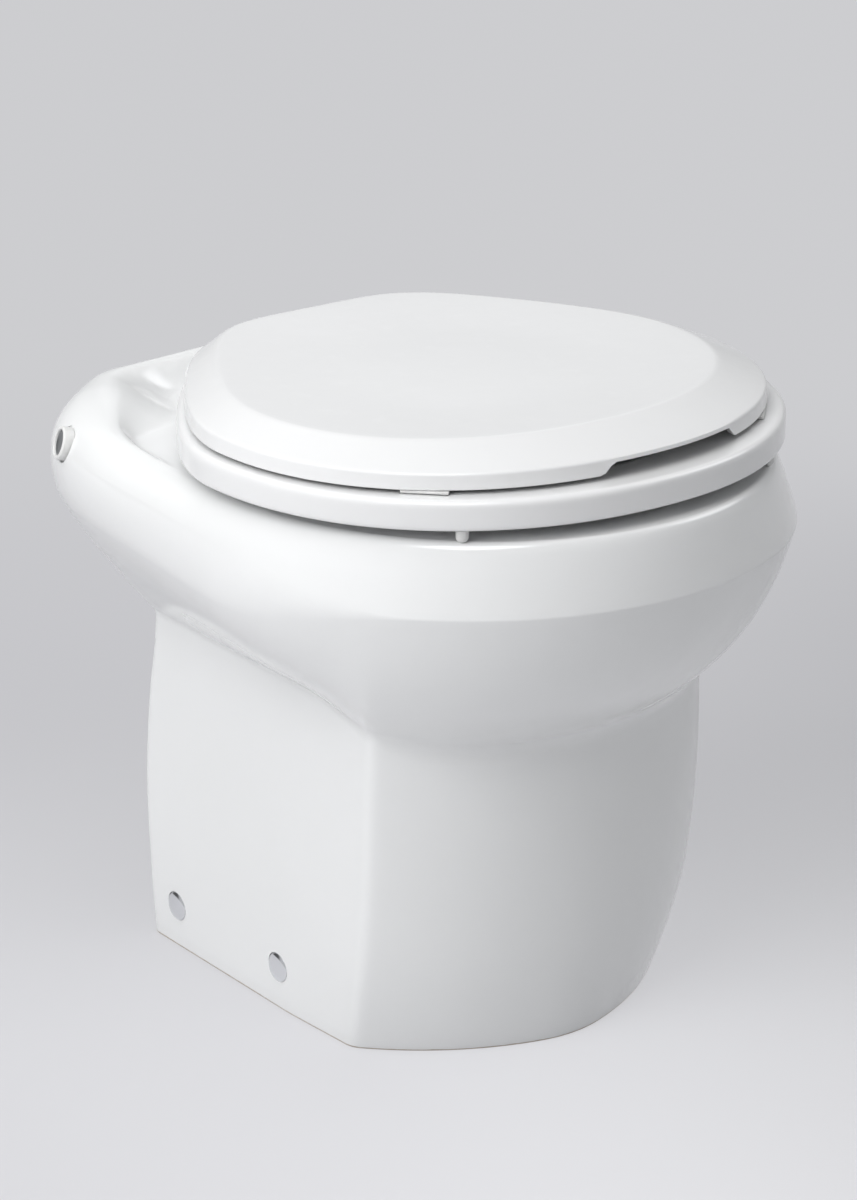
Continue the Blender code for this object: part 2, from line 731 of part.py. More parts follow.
clear_scene()
PARTS = collection("electric_marine_toilet")
CUTTERS = collection("cutters", hidden=True)
CHINA = material("china", (0.86, 0.86, 0.85), 0.12)
SEAT_WHITE = material("seat_white", (0.87, 0.87, 0.85), 0.22)
WHITE_PLASTIC = material("white_plastic", (0.84, 0.84, 0.84), 0.35)
CHROME = material("chrome", (0.80, 0.81, 0.82), 0.06, 1.0)
STEEL = material("steel", (0.62, 0.63, 0.64), 0.30, 1.0)
RUBBER = material("rubber", (0.03, 0.03, 0.03), 0.75)
PALE_RUBBER = material("pale_rubber", (0.80, 0.80, 0.78), 0.60)
DARK_PLASTIC = material("dark_plastic", (0.05, 0.05, 0.055), 0.45)
MOTOR_PAINT = material("motor_paint", (0.10, 0.11, 0.12), 0.35)
BRASS = material("brass", (0.72, 0.55, 0.28), 0.30, 1.0)

ORIGIN = bpy.data.objects.new("floor_origin", None)
PARTS.objects.link(ORIGIN)
ORIGIN.location = (0.0, (BELT_FRONT - BELT_REAR) / 2.0, 0.0)


def place(name, mesh, surface=None, location=(0.0, 0.0, 0.0), turn=None):
    """Make an object from a mesh, as a part with a surface or as a hidden cutter."""
    made = bpy.data.objects.new(name, mesh)
    made.parent = ORIGIN
    frame = turn.to_4x4() if turn is not None else Matrix.Identity(4)
    made.matrix_basis = Matrix.Translation(Vector(location)) @ frame
    if surface is None:
        CUTTERS.objects.link(made)
        made.hide_render = True
        made.display_type = "WIRE"
    else:
        PARTS.objects.link(made)
        mesh.materials.append(surface)
        mesh.shade_smooth()
        mesh.set_sharp_from_angle(angle=math.radians(32.0))
    return made


def finish_mesh(name, bm):
    mesh = bpy.data.meshes.new(name)
    bmesh.ops.recalc_face_normals(bm, faces=bm.faces[:])
    bm.to_mesh(mesh)
    bm.free()
    return mesh


def loft(name, rings, wrap):
    """Skin a run of equal rings; wrap joins the last to the first, else both are capped."""
    bm = bmesh.new()
    rows = [[bm.verts.new(p) for p in points] for points in rings]
    pairs = list(zip(rows, rows[1:]))
    if wrap:
        pairs.append((rows[-1], rows[0]))
    for low, high in pairs:
        for k in range(len(low)):
            n = (k + 1) % len(low)
            bm.faces.new((low[k], low[n], high[n], high[k]))
    if not wrap:
        bm.faces.new(rows[0])
        bm.faces.new(rows[-1])
    return finish_mesh(name, bm)


def box_mesh(name, low, high):
    """A box between two corners."""
    bm = bmesh.new()
    bmesh.ops.create_cube(bm, size=1.0)
    size = Vector(high) - Vector(low)
    middle = (Vector(high) + Vector(low)) / 2.0
    bmesh.ops.scale(bm, vec=size, verts=bm.verts)
    bmesh.ops.translate(bm, vec=middle, verts=bm.verts)
    return finish_mesh(name, bm)


def rod_mesh(name, radius, low, high, sides=24):
    """A cylinder along Z between two heights."""
    bm = bmesh.new()
    bmesh.ops.create_cone(
        bm, cap_ends=True, segments=sides, radius1=radius, radius2=radius, depth=high - low
    )
    bmesh.ops.translate(bm, vec=(0.0, 0.0, (high + low) / 2.0), verts=bm.verts)
    return finish_mesh(name, bm)


def prism_mesh(name, outline, low, high):
    """A flat outline in X and Y, raised between two heights."""
    curve = bpy.data.curves.new(name, "CURVE")
    curve.dimensions = "2D"
    curve.fill_mode = "BOTH"
    curve.extrude = (high - low) / 2.0
    spline = curve.splines.new("POLY")
    spline.points.add(len(outline) - 1)
    for point, (x, y) in zip(spline.points, outline):
        point.co = (x, y, 0.0, 1.0)
    spline.use_cyclic_u = True
    return curve_mesh(name, curve, Vector((0.0, 0.0, (high + low) / 2.0)))


def curve_mesh(name, curve, shift=Vector((0.0, 0.0, 0.0))):
    """A curve's evaluated mesh with its loose caps welded on."""
    holder = bpy.data.objects.new(name, curve)
    bpy.context.scene.collection.objects.link(holder)
    bpy.context.view_layer.update()
    graph = bpy.context.evaluated_depsgraph_get()
    mesh = bpy.data.meshes.new_from_object(holder.evaluated_get(graph))
    bpy.data.objects.remove(holder, do_unlink=True)
    bm = bmesh.new()
    bm.from_mesh(mesh)
    bmesh.ops.remove_doubles(bm, verts=bm.verts, dist=MERGE)
    bmesh.ops.translate(bm, vec=shift, verts=bm.verts)
    bpy.data.meshes.remove(mesh)
    return finish_mesh(name, bm)


def tube_mesh(name, route, radius, resolution=2):
    """A solid round rod along a route of points."""
    curve = bpy.data.curves.new(name, "CURVE")
    curve.dimensions = "3D"
    curve.bevel_depth = radius
    curve.bevel_resolution = resolution
    curve.use_fill_caps = True
    spline = curve.splines.new("POLY")
    spline.points.add(len(route) - 1)
    for point, place_at in zip(spline.points, route):
        point.co = (*place_at, 1.0)
    return curve_mesh(name, curve)


def turned(name, profile, surface=None, location=(0.0, 0.0, 0.0), turn=None, steps=24):
    """A turned piece: a profile of (radius, height) run top to bottom, closed by itself."""
    closed = profile[0][0] > 0.0
    mesh = bpy.data.meshes.new(name)
    count = len(profile)
    edges = [(k, k + 1) for k in range(count - 1)]
    if closed:
        edges.append((count - 1, 0))
    mesh.from_pydata([(r, 0.0, z) for r, z in profile], edges, [])
    made = place(name, mesh, surface, location, turn)
    screw = made.modifiers.new("turn", "SCREW")
    screw.axis = "Z"
    screw.steps = steps
    screw.render_steps = steps
    screw.use_merge_vertices = True
    screw.merge_threshold = MERGE
    screw.use_smooth_shade = True
    return made


def aimed(direction):
    """The turn that takes +Z to a direction."""
    return Vector(direction).to_track_quat("Z", "Y").to_matrix()


def boolean(target, cutter, operation="DIFFERENCE"):
    """Cut a cutter out of a target, or join it on."""
    step = target.modifiers.new(cutter.name, "BOOLEAN")
    step.operation = operation
    step.solver = "EXACT"
    step.object = cutter
    return step


def rod_cutter(name, radius, start, direction, length, sides=24):
    """A round cutter from a start along a direction."""
    mesh = rod_mesh(name, radius, 0.0, length, sides)
    return place(name, mesh, None, start, aimed(direction))


def box_cutter(name, low, high):
    return place(name, box_mesh(name, low, high))


def sides():
    """Both sides of the object, as a name and a sign along X."""
    return (("left", 1.0), ("right", -1.0))


# Casting with its openings


def arch_outline(half_width, height, radius, below):
    """A doorway shape: straight sides and rounded top corners."""
    points = [(-half_width, -below), (half_width, -below)]
    for sign, start in ((1.0, 0.0), (-1.0, math.pi / 2.0)):
        for k in range(7):
            a = start + math.pi / 2.0 * k / 6.0
            points.append(
                (
                    sign * (half_width - radius) + radius * math.cos(a),
                    height - radius + radius * math.sin(a),
                )
            )
    return points


def probe(tree, start, direction):
    """Where a line first meets the casting's surface."""
    place_at, _, _, _ = tree.ray_cast(Vector(start), Vector(direction).normalized())
    return place_at


def button_axis():
    """The flush button's outward direction."""
    level = math.cos(BUTTON_PITCH)
    return Vector(
        (-level * math.cos(BUTTON_YAW), level * math.sin(BUTTON_YAW), math.sin(BUTTON_PITCH))
    )


CASTING_MESH = loft("bowl_body", casting_rings(), wrap=True)
CASTING_TREE = BVHTree.FromPolygons(
    [v.co.copy() for v in CASTING_MESH.vertices],
    [tuple(p.vertices) for p in CASTING_MESH.polygons],
)
BUTTON_AXIS = button_axis()
BUTTON_FACE = probe(
    CASTING_TREE,
    Vector((-BUTTON_AIM_X, BUTTON_AIM_Y, BUTTON_AIM_Z)) + BUTTON_AXIS * BELT_HALF_WIDTH,
    -BUTTON_AXIS,
)
BUTTON_SEAT = BUTTON_FACE - BUTTON_AXIS * BEZEL_SEAT_DEPTH
BUTTON_BACK = probe(CASTING_TREE, BUTTON_SEAT - BUTTON_AXIS * SEAT_GAP, -BUTTON_AXIS)
NUT_SEAT = BUTTON_BACK + BUTTON_AXIS * BEZEL_SEAT_DEPTH


def fixing_seat(sign, y):
    """The flat seat of a side cap, a little under the pedestal's surface."""
    face = probe(CASTING_TREE, (sign * BELT_HALF_WIDTH, y, FIXING_Z), (-sign, 0.0, 0.0))
    return face - Vector((sign * CAP_RIM, 0.0, 0.0))


def build_casting():
    """The one-piece china body: pedestal, underside, band, rim, ridge, bowl and cavity."""
    body = place("bowl_body", CASTING_MESH, CHINA)
    arch = arch_outline(ARCH_HALF_WIDTH, ARCH_HEIGHT, ARCH_RADIUS, OVERRUN)
    rear_low = PEDESTAL_REAR * PEDESTAL_REAR_SHARES[-1] - 2.0 * WALL
    arch_mesh = prism_mesh("rear_arch", arch, -PEDESTAL_REAR - OVERRUN, -rear_low)
    boolean(body, place("rear_arch", arch_mesh, turn=Matrix.Rotation(math.pi / 2.0, 3, "X")))
    for side, sign in sides():
        low = (sign * HINGE_X, HINGE_Y, RIM_HEIGHT - DECK_WALL - OVERRUN)
        length = DECK_WALL + 2.0 * OVERRUN
        boolean(body, rod_cutter(f"hinge_hole_{side}", STUD_HOLE_RADIUS, low, (0, 0, 1), length))
        for place_name, y in zip(("front", "rear"), FIXING_Y):
            seat = fixing_seat(sign, y)
            outward = Vector((sign, 0.0, 0.0))
            for kind, radius, depth in (
                ("cap_seat", CAP_RADIUS + SEAT_GAP, 0.0),
                ("head_pocket", HEAD_POCKET_RADIUS, HEAD_POCKET_DEPTH),
                ("screw_hole", SCREW_HOLE_RADIUS, WALL + OVERRUN),
            ):
                start = seat - outward * depth
                name = f"{kind}_{place_name}_{side}"
                boolean(body, rod_cutter(name, radius, start, outward, depth + OVERRUN, 16))
    out = BUTTON_AXIS
    boolean(body, rod_cutter("bezel_seat", BEZEL_RADIUS + SEAT_GAP, BUTTON_SEAT, out, 2 * OVERRUN))
    start = NUT_SEAT - out * 2 * OVERRUN
    boolean(body, rod_cutter("nut_seat", NUT_RADIUS + SEAT_GAP, start, out, 2 * OVERRUN))
    start = NUT_SEAT - out * OVERRUN
    length = 3 * WALL
    boolean(body, rod_cutter("barrel_hole", BARREL_RADIUS + SEAT_GAP, start, out, length))
    spud_start = (SPUD_X, BOWL_REAR - 3.0 * WALL, SPUD_Z)
    boolean(
        body, rod_cutter("spud_hole", SPUD_RADIUS + SEAT_GAP, spud_start, (0, 1, 0), 5.0 * WALL)
    )
    return body


# Seat


SEAT = egg(SEAT_HALF_WIDTH, SEAT_FRONT, SEAT_REAR, SEAT_POWER)
SEAT_HOLE = egg(SEAT_HOLE_HALF_WIDTH, SEAT_HOLE_FRONT, SEAT_HOLE_REAR, 2.0)
LID = egg(LID_HALF_WIDTH, LID_FRONT, LID_REAR, LID_POWER)
HINGE_LOCATION = Vector((0.0, HINGE_Y, HINGE_Z))


def grown(outline, extra):
    return lambda angle: outline(angle) + extra


def seat_level(outline, height):
    """One closed ring of the seat or the lid."""
    return ring(outline, height, angles=SEAT_ANGLES)


def seat_rings():
    """The seat ring's section, round the outside, the hole and the ribbed underside."""
    third = SEAT_ROUND * 0.3
    return [
        seat_level(grown(SEAT, -SEAT_RIB), SEAT_BOTTOM + SEAT_RECESS),
        seat_level(grown(SEAT, -SEAT_RIB), SEAT_BOTTOM),
        seat_level(grown(SEAT, -third), SEAT_BOTTOM),
        seat_level(SEAT, SEAT_BOTTOM + third),
        seat_level(SEAT, SEAT_TOP - SEAT_ROUND),
        seat_level(grown(SEAT, -third), SEAT_TOP - third),
        seat_level(grown(SEAT, -SEAT_ROUND), SEAT_TOP),
        seat_level(grown(SEAT_HOLE, 2.0 * SEAT_ROUND), SEAT_TOP - third),
        seat_level(grown(SEAT_HOLE, third), SEAT_TOP - 2.5 * third),
        seat_level(SEAT_HOLE, SEAT_TOP - 1.5 * SEAT_ROUND),
        seat_level(SEAT_HOLE, SEAT_BOTTOM),
        seat_level(grown(SEAT_HOLE, SEAT_RIB), SEAT_BOTTOM),
        seat_level(grown(SEAT_HOLE, SEAT_RIB), SEAT_BOTTOM + SEAT_RECESS),
    ]


def shifted(mesh, point):
    """Move a mesh so that a point becomes its origin."""
    mesh.transform(Matrix.Translation(-Vector(point)))
    return mesh


def hinge_spans():
    """Where the ears, lug and post of a hinge lie across, for the positive side."""
    post = (HINGE_X - POST_WIDTH / 2.0, HINGE_X + POST_WIDTH / 2.0)
    lug = (post[0] - HINGE_SIDE_GAP - LUG_WIDTH, post[0] - HINGE_SIDE_GAP)
    inner = (lug[0] - HINGE_SIDE_GAP - EAR_INNER, lug[0] - HINGE_SIDE_GAP)
    outer = (post[1] + HINGE_SIDE_GAP, post[1] + HINGE_SIDE_GAP + EAR_OUTER)
    return post, lug, inner, outer


def across(sign, span):
    """A span across, ordered for its side."""
    return tuple(sorted((sign * span[0], sign * span[1])))


def barrel(name, sign, span, radius):
    """A round barrel on the hinge axis over a span, as a helper to join or cut."""
    low, high = across(sign, span)
    return rod_cutter(name, radius, (low, HINGE_Y, HINGE_Z), (1, 0, 0), high - low, 16)


def build_seat():
    """The seat ring with two hinge ears on each side, hung on the hinge axis."""
    mesh = shifted(loft("seat_ring", seat_rings(), wrap=True), HINGE_LOCATION)
    seat = place("seat_ring", mesh, SEAT_WHITE, HINGE_LOCATION)
    _, _, inner, outer = hinge_spans()
    for side, sign in sides():
        low, high = across(sign, (inner[1] - SEAT_GAP, outer[0] + SEAT_GAP))
        notch = box_cutter(
            f"seat_notch_{side}",
            (low, HINGE_Y - NOTCH_BACK, SEAT_BOTTOM - OVERRUN),
            (high, SEAT_REAR + OVERRUN, SEAT_TOP + OVERRUN),
        )
        boolean(seat, notch)
        for ear, span in (("inner", inner), ("outer", outer)):
            low, high = across(sign, (span[0] + SEAT_GAP / 2.0, span[1] - SEAT_GAP / 2.0))
            half = EAR_RADIUS * 0.93
            block = box_cutter(
                f"ear_block_{ear}_{side}",
                (low, HINGE_Y - EAR_REACH, HINGE_Z - half),
                (high, HINGE_Y, HINGE_Z + half),
            )
            boolean(seat, block, "UNION")
            boolean(seat, barrel(f"ear_barrel_{ear}_{side}", sign, span, EAR_RADIUS), "UNION")
        hole = (inner[1] - PIN_GRIP - SEAT_GAP, outer[0] + PIN_GRIP + SEAT_GAP)
        boolean(seat, barrel(f"seat_pin_hole_{side}", sign, hole, PIN_RADIUS + RUNNING_GAP))
    return seat


# Lid


def chamfer_width(angle):
    """The lid's chamfer is wide in front and narrow behind."""
    front = smooth(angle, math.radians(20.0), math.radians(100.0))
    rear = smooth(angle, math.radians(95.0), math.radians(140.0))
    return blend(blend(LID_CHAMFER_FRONT, LID_CHAMFER_SIDE, front), LID_CHAMFER_REAR, rear)


def lid_rings():
    """The lid's shell: up the skirt and chamfer to the middle, and back inside."""
    facet = lambda angle: LID(angle) - chamfer_width(fold(angle))
    edge = LID_WALL * 0.3
    inside = lambda angle: LID(angle) - LID_WALL
    ceiling = lambda angle: facet(angle) - LID_WALL * 0.6
    return [
        seat_level(lambda a: ceiling(a) * 0.55, LID_TOP - LID_DISH - LID_WALL),
        seat_level(ceiling, LID_TOP - LID_WALL),
        seat_level(inside, LID_SKIRT_TOP - LID_WALL * 0.7),
        seat_level(inside, LID_BOTTOM),
        seat_level(grown(LID, -edge * 0.4), LID_BOTTOM),
        seat_level(LID, LID_BOTTOM + edge * 0.5),
        seat_level(grown(LID, -edge * 0.6), LID_SKIRT_TOP - edge * 0.4),
        seat_level(grown(LID, -edge * 1.6), LID_SKIRT_TOP + edge * 0.15),
        seat_level(facet, LID_TOP - edge * 0.15),
        seat_level(grown(facet, -edge * 1.5), LID_TOP),
        seat_level(lambda a: facet(a) * 0.55, LID_TOP - LID_DISH),
    ]


def build_lid():
    """The lid shell with its finger notch and one hinge lug on each side."""
    mesh = shifted(loft("lid", lid_rings(), wrap=False), HINGE_LOCATION)
    lid = place("lid", mesh, SEAT_WHITE, HINGE_LOCATION)
    low = -NOTCH_HALF_WIDTH
    high = NOTCH_HALF_WIDTH
    outline = (
        (low - NOTCH_SLOPE, -NOTCH_SLOPE),
        (high + NOTCH_SLOPE, -NOTCH_SLOPE),
        (high, NOTCH_HEIGHT),
        (low, NOTCH_HEIGHT),
    )
    depth = LID_CHAMFER_FRONT + LID_WALL
    cutter = place(
        "finger_notch",
        prism_mesh("finger_notch", outline, -depth, depth),
        None,
        (NOTCH_CENTRE, -LID_FRONT, LID_BOTTOM),
        Matrix.Rotation(math.pi / 2.0, 3, "X"),
    )
    boolean(lid, cutter)
    _, lug, _, _ = hinge_spans()
    for side, sign in sides():
        left, right = across(sign, (lug[0] + SEAT_GAP / 2.0, lug[1] - SEAT_GAP / 2.0))
        block = box_cutter(
            f"lug_block_{side}",
            (left, HINGE_Y - LUG_DEPTH, HINGE_Z),
            (right, HINGE_Y, LID_TOP - LID_DISH - LID_WALL * 0.5),
        )
        boolean(lid, block, "UNION")
        boolean(lid, barrel(f"lug_barrel_{side}", sign, lug, LUG_RADIUS), "UNION")
        wide = (lug[0] - OVERRUN, lug[1] + OVERRUN)
        boolean(lid, barrel(f"lid_pin_hole_{side}", sign, wide, PIN_RADIUS + RUNNING_GAP))
    return lid


def build_bumpers():
    """Soft pads: four under the seat ring and one at each side under the lid's skirt."""
    for side, sign in sides():
        for end, angle in SEAT_BUMPER_ANGLES.items():
            reach = SEAT(angle) - SEAT_RIB / 2.0
            at = (sign * reach * math.sin(angle), -reach * math.cos(angle), 0.0)
            r = SEAT_BUMPER_RADIUS
            low = RIM_HEIGHT + SEAT_GAP
            top = SEAT_BOTTOM - SEAT_GAP
            soft = SEAT_BUMPER_ROUND
            profile = (
                (0.0, top),
                (r, top),
                (r, low + soft),
                (r - soft, low),
                (0.0, low),
            )
            name = f"seat_bumper_{end}_{side}"
            turned(name, profile, PALE_RUBBER, at, steps=14)
        angle = LID_BUMPER_ANGLE
        reach = LID(angle) - LID_WALL / 2.0
        low = SEAT_TOP + SEAT_GAP
        half_length = LID_BUMPER_LENGTH / 2.0
        half_width = LID_BUMPER_WIDTH / 2.0
        mesh = box_mesh(
            f"lid_bumper_{side}",
            (-half_length, -half_width, low),
            (half_length, half_width, LID_BOTTOM - SEAT_GAP),
        )
        place(
            f"lid_bumper_{side}",
            mesh,
            PALE_RUBBER,
            (sign * reach * math.sin(angle), -reach * math.cos(angle), 0.0),
            Matrix.Rotation(sign * angle, 3, "Z"),
        )


# Hinge hardware


def joined_rod(target, name, radius, start, direction, length, sides_count=24):
    boolean(target, rod_cutter(name, radius, start, direction, length, sides_count), "UNION")


def build_hinges():
    """On each side: a post with its stud, the hinge pin, a rubber washer and a wing nut."""
    post_span, _, inner, outer = hinge_spans()
    deck = RIM_HEIGHT + SEAT_GAP
    under = RIM_HEIGHT - DECK_WALL - SEAT_GAP
    for side, sign in sides():
        x = sign * HINGE_X
        low, high = across(sign, post_span)
        column = box_mesh(
            f"hinge_post_{side}",
            (low - x, -POST_DEPTH / 2.0, deck + POST_BASE_HEIGHT / 2.0),
            (high - x, POST_DEPTH / 2.0, HINGE_Z),
        )
        post = place(f"hinge_post_{side}", column, CHROME, (x, HINGE_Y, 0.0))
        boolean(post, barrel(f"post_head_{side}", sign, post_span, POST_DEPTH / 2.0), "UNION")
        start = (x, HINGE_Y, deck)
        joined_rod(post, f"post_base_{side}", POST_BASE_RADIUS, start, (0, 0, 1), POST_BASE_HEIGHT, 20)
        start = (x, HINGE_Y, RIM_HEIGHT - STUD_LENGTH)
        length = STUD_LENGTH + POST_BASE_HEIGHT / 2.0
        joined_rod(post, f"post_stud_{side}", STUD_RADIUS, start, (0, 0, 1), length, 12)
        wide = (post_span[0] - OVERRUN, post_span[1] + OVERRUN)
        boolean(post, barrel(f"post_pin_hole_{side}", sign, wide, PIN_RADIUS + SEAT_GAP))

        pin_low, pin_high = across(sign, (inner[1] - PIN_GRIP, outer[0] + PIN_GRIP))
        pin = rod_mesh(f"hinge_pin_{side}", PIN_RADIUS, 0.0, pin_high - pin_low, 16)
        place(f"hinge_pin_{side}", pin, STEEL, (pin_low, HINGE_Y, HINGE_Z), aimed((1, 0, 0)))

        bore = STUD_RADIUS + SEAT_GAP
        low = under - WASHER_HEIGHT
        washer = (
            (bore, under),
            (WASHER_RADIUS, under),
            (WASHER_RADIUS, low),
            (bore, low),
        )
        turned(f"hinge_washer_{side}", washer, RUBBER, (x, HINGE_Y, 0.0), steps=16)

        top = low - SEAT_GAP
        hub = rod_mesh(f"hinge_wing_nut_{side}", WING_NUT_RADIUS, top - WING_NUT_HEIGHT, top, 12)
        nut = place(f"hinge_wing_nut_{side}", hub, WHITE_PLASTIC, (x, HINGE_Y, 0.0))
        wings = box_cutter(
            f"wings_{side}",
            (x - WING_SPAN, HINGE_Y - WING_THICKNESS / 2.0, top - WING_NUT_HEIGHT),
            (x + WING_SPAN, HINGE_Y + WING_THICKNESS / 2.0, top - WING_NUT_HEIGHT / 3.0),
        )
        boolean(nut, wings, "UNION")
        start = (x, HINGE_Y, top - WING_NUT_HEIGHT - OVERRUN)
        length = WING_NUT_HEIGHT + 2.0 * OVERRUN
        boolean(nut, rod_cutter(f"wing_nut_hole_{side}", bore, start, (0, 0, 1), length, 12))


# Flush button


def build_button():
    """The push-button switch in the end of the ridge: bezel, button, nut and switch."""
    turn = aimed(BUTTON_AXIS)
    bore = BUTTON_RADIUS + RUNNING_GAP
    top = BEZEL_SEAT_DEPTH + BEZEL_PROUD
    soft = BEZEL_ROUND
    bezel = (
        (bore, top - soft * 0.2),
        (bore + soft * 0.2, top),
        (BEZEL_RADIUS - soft, top),
        (BEZEL_RADIUS - soft * 0.3, top - soft * 0.3),
        (BEZEL_RADIUS, top - soft),
        (BEZEL_RADIUS, SEAT_GAP),
        (BARREL_RADIUS, SEAT_GAP),
        (BARREL_RADIUS, -BARREL_LENGTH),
        (bore, -BARREL_LENGTH),
    )
    turned("flush_button_bezel", bezel, WHITE_PLASTIC, BUTTON_SEAT, turn, steps=20)

    face = top - BUTTON_RECESS
    dish = BUTTON_RECESS * 0.5
    stem = BUTTON_RADIUS / 2.0
    button = (
        (0.0, face - dish),
        (BUTTON_RADIUS * 0.8, face),
        (BUTTON_RADIUS, face - dish),
        (BUTTON_RADIUS, face - BUTTON_HEIGHT),
        (stem, face - BUTTON_HEIGHT),
        (stem, BUTTON_TRAVEL + SEAT_GAP - BARREL_LENGTH),
        (0.0, BUTTON_TRAVEL + SEAT_GAP - BARREL_LENGTH),
    )
    turned("flush_button", button, STEEL, BUTTON_SEAT, turn, steps=20)

    rear = -BARREL_LENGTH - SEAT_GAP
    lip = rear - SWITCH_LENGTH / 4.0
    switch = (
        (0.0, rear),
        (BARREL_RADIUS, rear),
        (BARREL_RADIUS, lip),
        (SWITCH_RADIUS, lip),
        (SWITCH_RADIUS, rear - SWITCH_LENGTH),
        (0.0, rear - SWITCH_LENGTH),
    )
    turned("button_switch", switch, DARK_PLASTIC, BUTTON_SEAT, turn, steps=16)

    mesh = rod_mesh("button_nut", NUT_RADIUS, -SEAT_GAP - NUT_HEIGHT, -SEAT_GAP, 6)
    nut = place("button_nut", mesh, WHITE_PLASTIC, NUT_SEAT, turn)
    start = NUT_SEAT - BUTTON_AXIS * (NUT_HEIGHT + OVERRUN)
    hole = BARREL_RADIUS + SEAT_GAP
    boolean(nut, rod_cutter("button_nut_hole", hole, start, BUTTON_AXIS, NUT_HEIGHT + 2 * OVERRUN))


# Side fixings


def bracket_face(sign):
    """The inside of the pedestal's wall at the floor, where a bracket stands."""
    reaches = []
    for y in (BRACKET_START, BRACKET_END):
        at = probe(CASTING_TREE, (0.0, y, SEAT_GAP), (sign, 0.0, 0.0))
        reaches.append(abs(at.x))
    return min(reaches) - SEAT_GAP


def build_fixings():
    """Caps, screws and angle brackets that hold the pedestal to the floor."""
    for side, sign in sides():
        outward = (sign, 0.0, 0.0)
        turn = aimed(outward)
        face = bracket_face(sign)
        low, high = across(sign, (face - BRACKET_THICKNESS, face))
        mesh = box_mesh(
            f"floor_bracket_{side}",
            (low, BRACKET_START, 0.0),
            (high, BRACKET_END, BRACKET_HEIGHT),
        )
        bracket = place(f"floor_bracket_{side}", mesh, STEEL)
        low, high = across(sign, (face - BRACKET_WIDTH, face))
        foot = box_cutter(
            f"bracket_foot_{side}",
            (low, BRACKET_START, 0.0),
            (high, BRACKET_END, BRACKET_THICKNESS),
        )
        boolean(bracket, foot, "UNION")
        for k, y in enumerate(FLOOR_HOLE_Y):
            start = (sign * (face - BRACKET_WIDTH / 2.0), y, -OVERRUN)
            name = f"floor_hole_{k}_{side}"
            length = BRACKET_THICKNESS + 2.0 * OVERRUN
            boolean(bracket, rod_cutter(name, FLOOR_HOLE_RADIUS, start, (0, 0, 1), length, 12))
        for end, y in zip(("front", "rear"), FIXING_Y):
            seat = fixing_seat(sign, y)
            start = (sign * (face - 2.0 * BRACKET_THICKNESS), y, FIXING_Z)
            name = f"bracket_hole_{end}_{side}"
            length = 3.0 * BRACKET_THICKNESS
            hole = SCREW_RADIUS + SEAT_GAP
            boolean(bracket, rod_cutter(name, hole, start, outward, length, 10))

            base = SEAT_GAP
            rise = CAP_DOME
            cap = (
                (0.0, base + rise),
                (CAP_RADIUS * 0.5, base + rise * 0.87),
                (CAP_RADIUS * 0.88, base + rise * 0.42),
                (CAP_RADIUS, base + rise * 0.15),
                (CAP_RADIUS, base),
                (0.0, base),
            )
            turned(f"fixing_cap_{end}_{side}", cap, CHROME, seat, turn, steps=16)

            top = SCREW_HEAD_HEIGHT + SEAT_GAP - HEAD_POCKET_DEPTH
            under = SEAT_GAP - HEAD_POCKET_DEPTH
            screw = (
                (0.0, top),
                (SCREW_HEAD_RADIUS * 0.8, top),
                (SCREW_HEAD_RADIUS, under),
                (SCREW_RADIUS, under),
                (SCREW_RADIUS, under - SCREW_LENGTH),
                (0.0, under - SCREW_LENGTH),
            )
            turned(f"fixing_screw_{end}_{side}", screw, STEEL, seat, turn, steps=10)


# Macerator pump, on a shaft that runs front to back


ALONG = aimed((0, 1, 0))
SHAFT_AT = Vector((0.0, 0.0, SHAFT_Z))
PLATE_START = MOTOR_BACK + SEAT_GAP
HOUSING_START = PLATE_START + BACK_PLATE_LENGTH + SEAT_GAP
HOUSING_END = HOUSING_START + VOLUTE_LENGTH + CHAMBER_LENGTH
CHOPPER_START = HOUSING_START + VOLUTE_LENGTH
PORT_Y = HOUSING_START + VOLUTE_LENGTH / 2.0
PORT_Z = SHAFT_Z + PORT_OFFSET


def shaft_point(y):
    return (0.0, y, SHAFT_Z)


def build_motor():
    """The motor can with the shaft's blind bore, and its domed end cap."""
    bore = SHAFT_RADIUS + RUNNING_GAP
    deep = MOTOR_BACK - MOTOR_BORE_DEPTH
    soft = SEAL_RADIUS / 3.0
    can = (
        (0.0, deep),
        (bore, deep),
        (bore, MOTOR_BACK),
        (MOTOR_RADIUS - soft, MOTOR_BACK),
        (MOTOR_RADIUS, MOTOR_BACK - soft),
        (MOTOR_RADIUS, MOTOR_FRONT),
        (0.0, MOTOR_FRONT),
    )
    turned("motor_can", can, MOTOR_PAINT, SHAFT_AT, ALONG, steps=20)
    top = MOTOR_FRONT - SEAT_GAP
    cap = (
        (0.0, top),
        (MOTOR_RADIUS, top),
        (MOTOR_RADIUS, top - MOTOR_CAP * 0.4),
        (MOTOR_RADIUS * 0.9, top - MOTOR_CAP * 0.8),
        (MOTOR_RADIUS * 0.35, top - MOTOR_CAP),
        (0.0, top - MOTOR_CAP),
    )
    turned("motor_end_cap", cap, STEEL, SHAFT_AT, ALONG, steps=20)


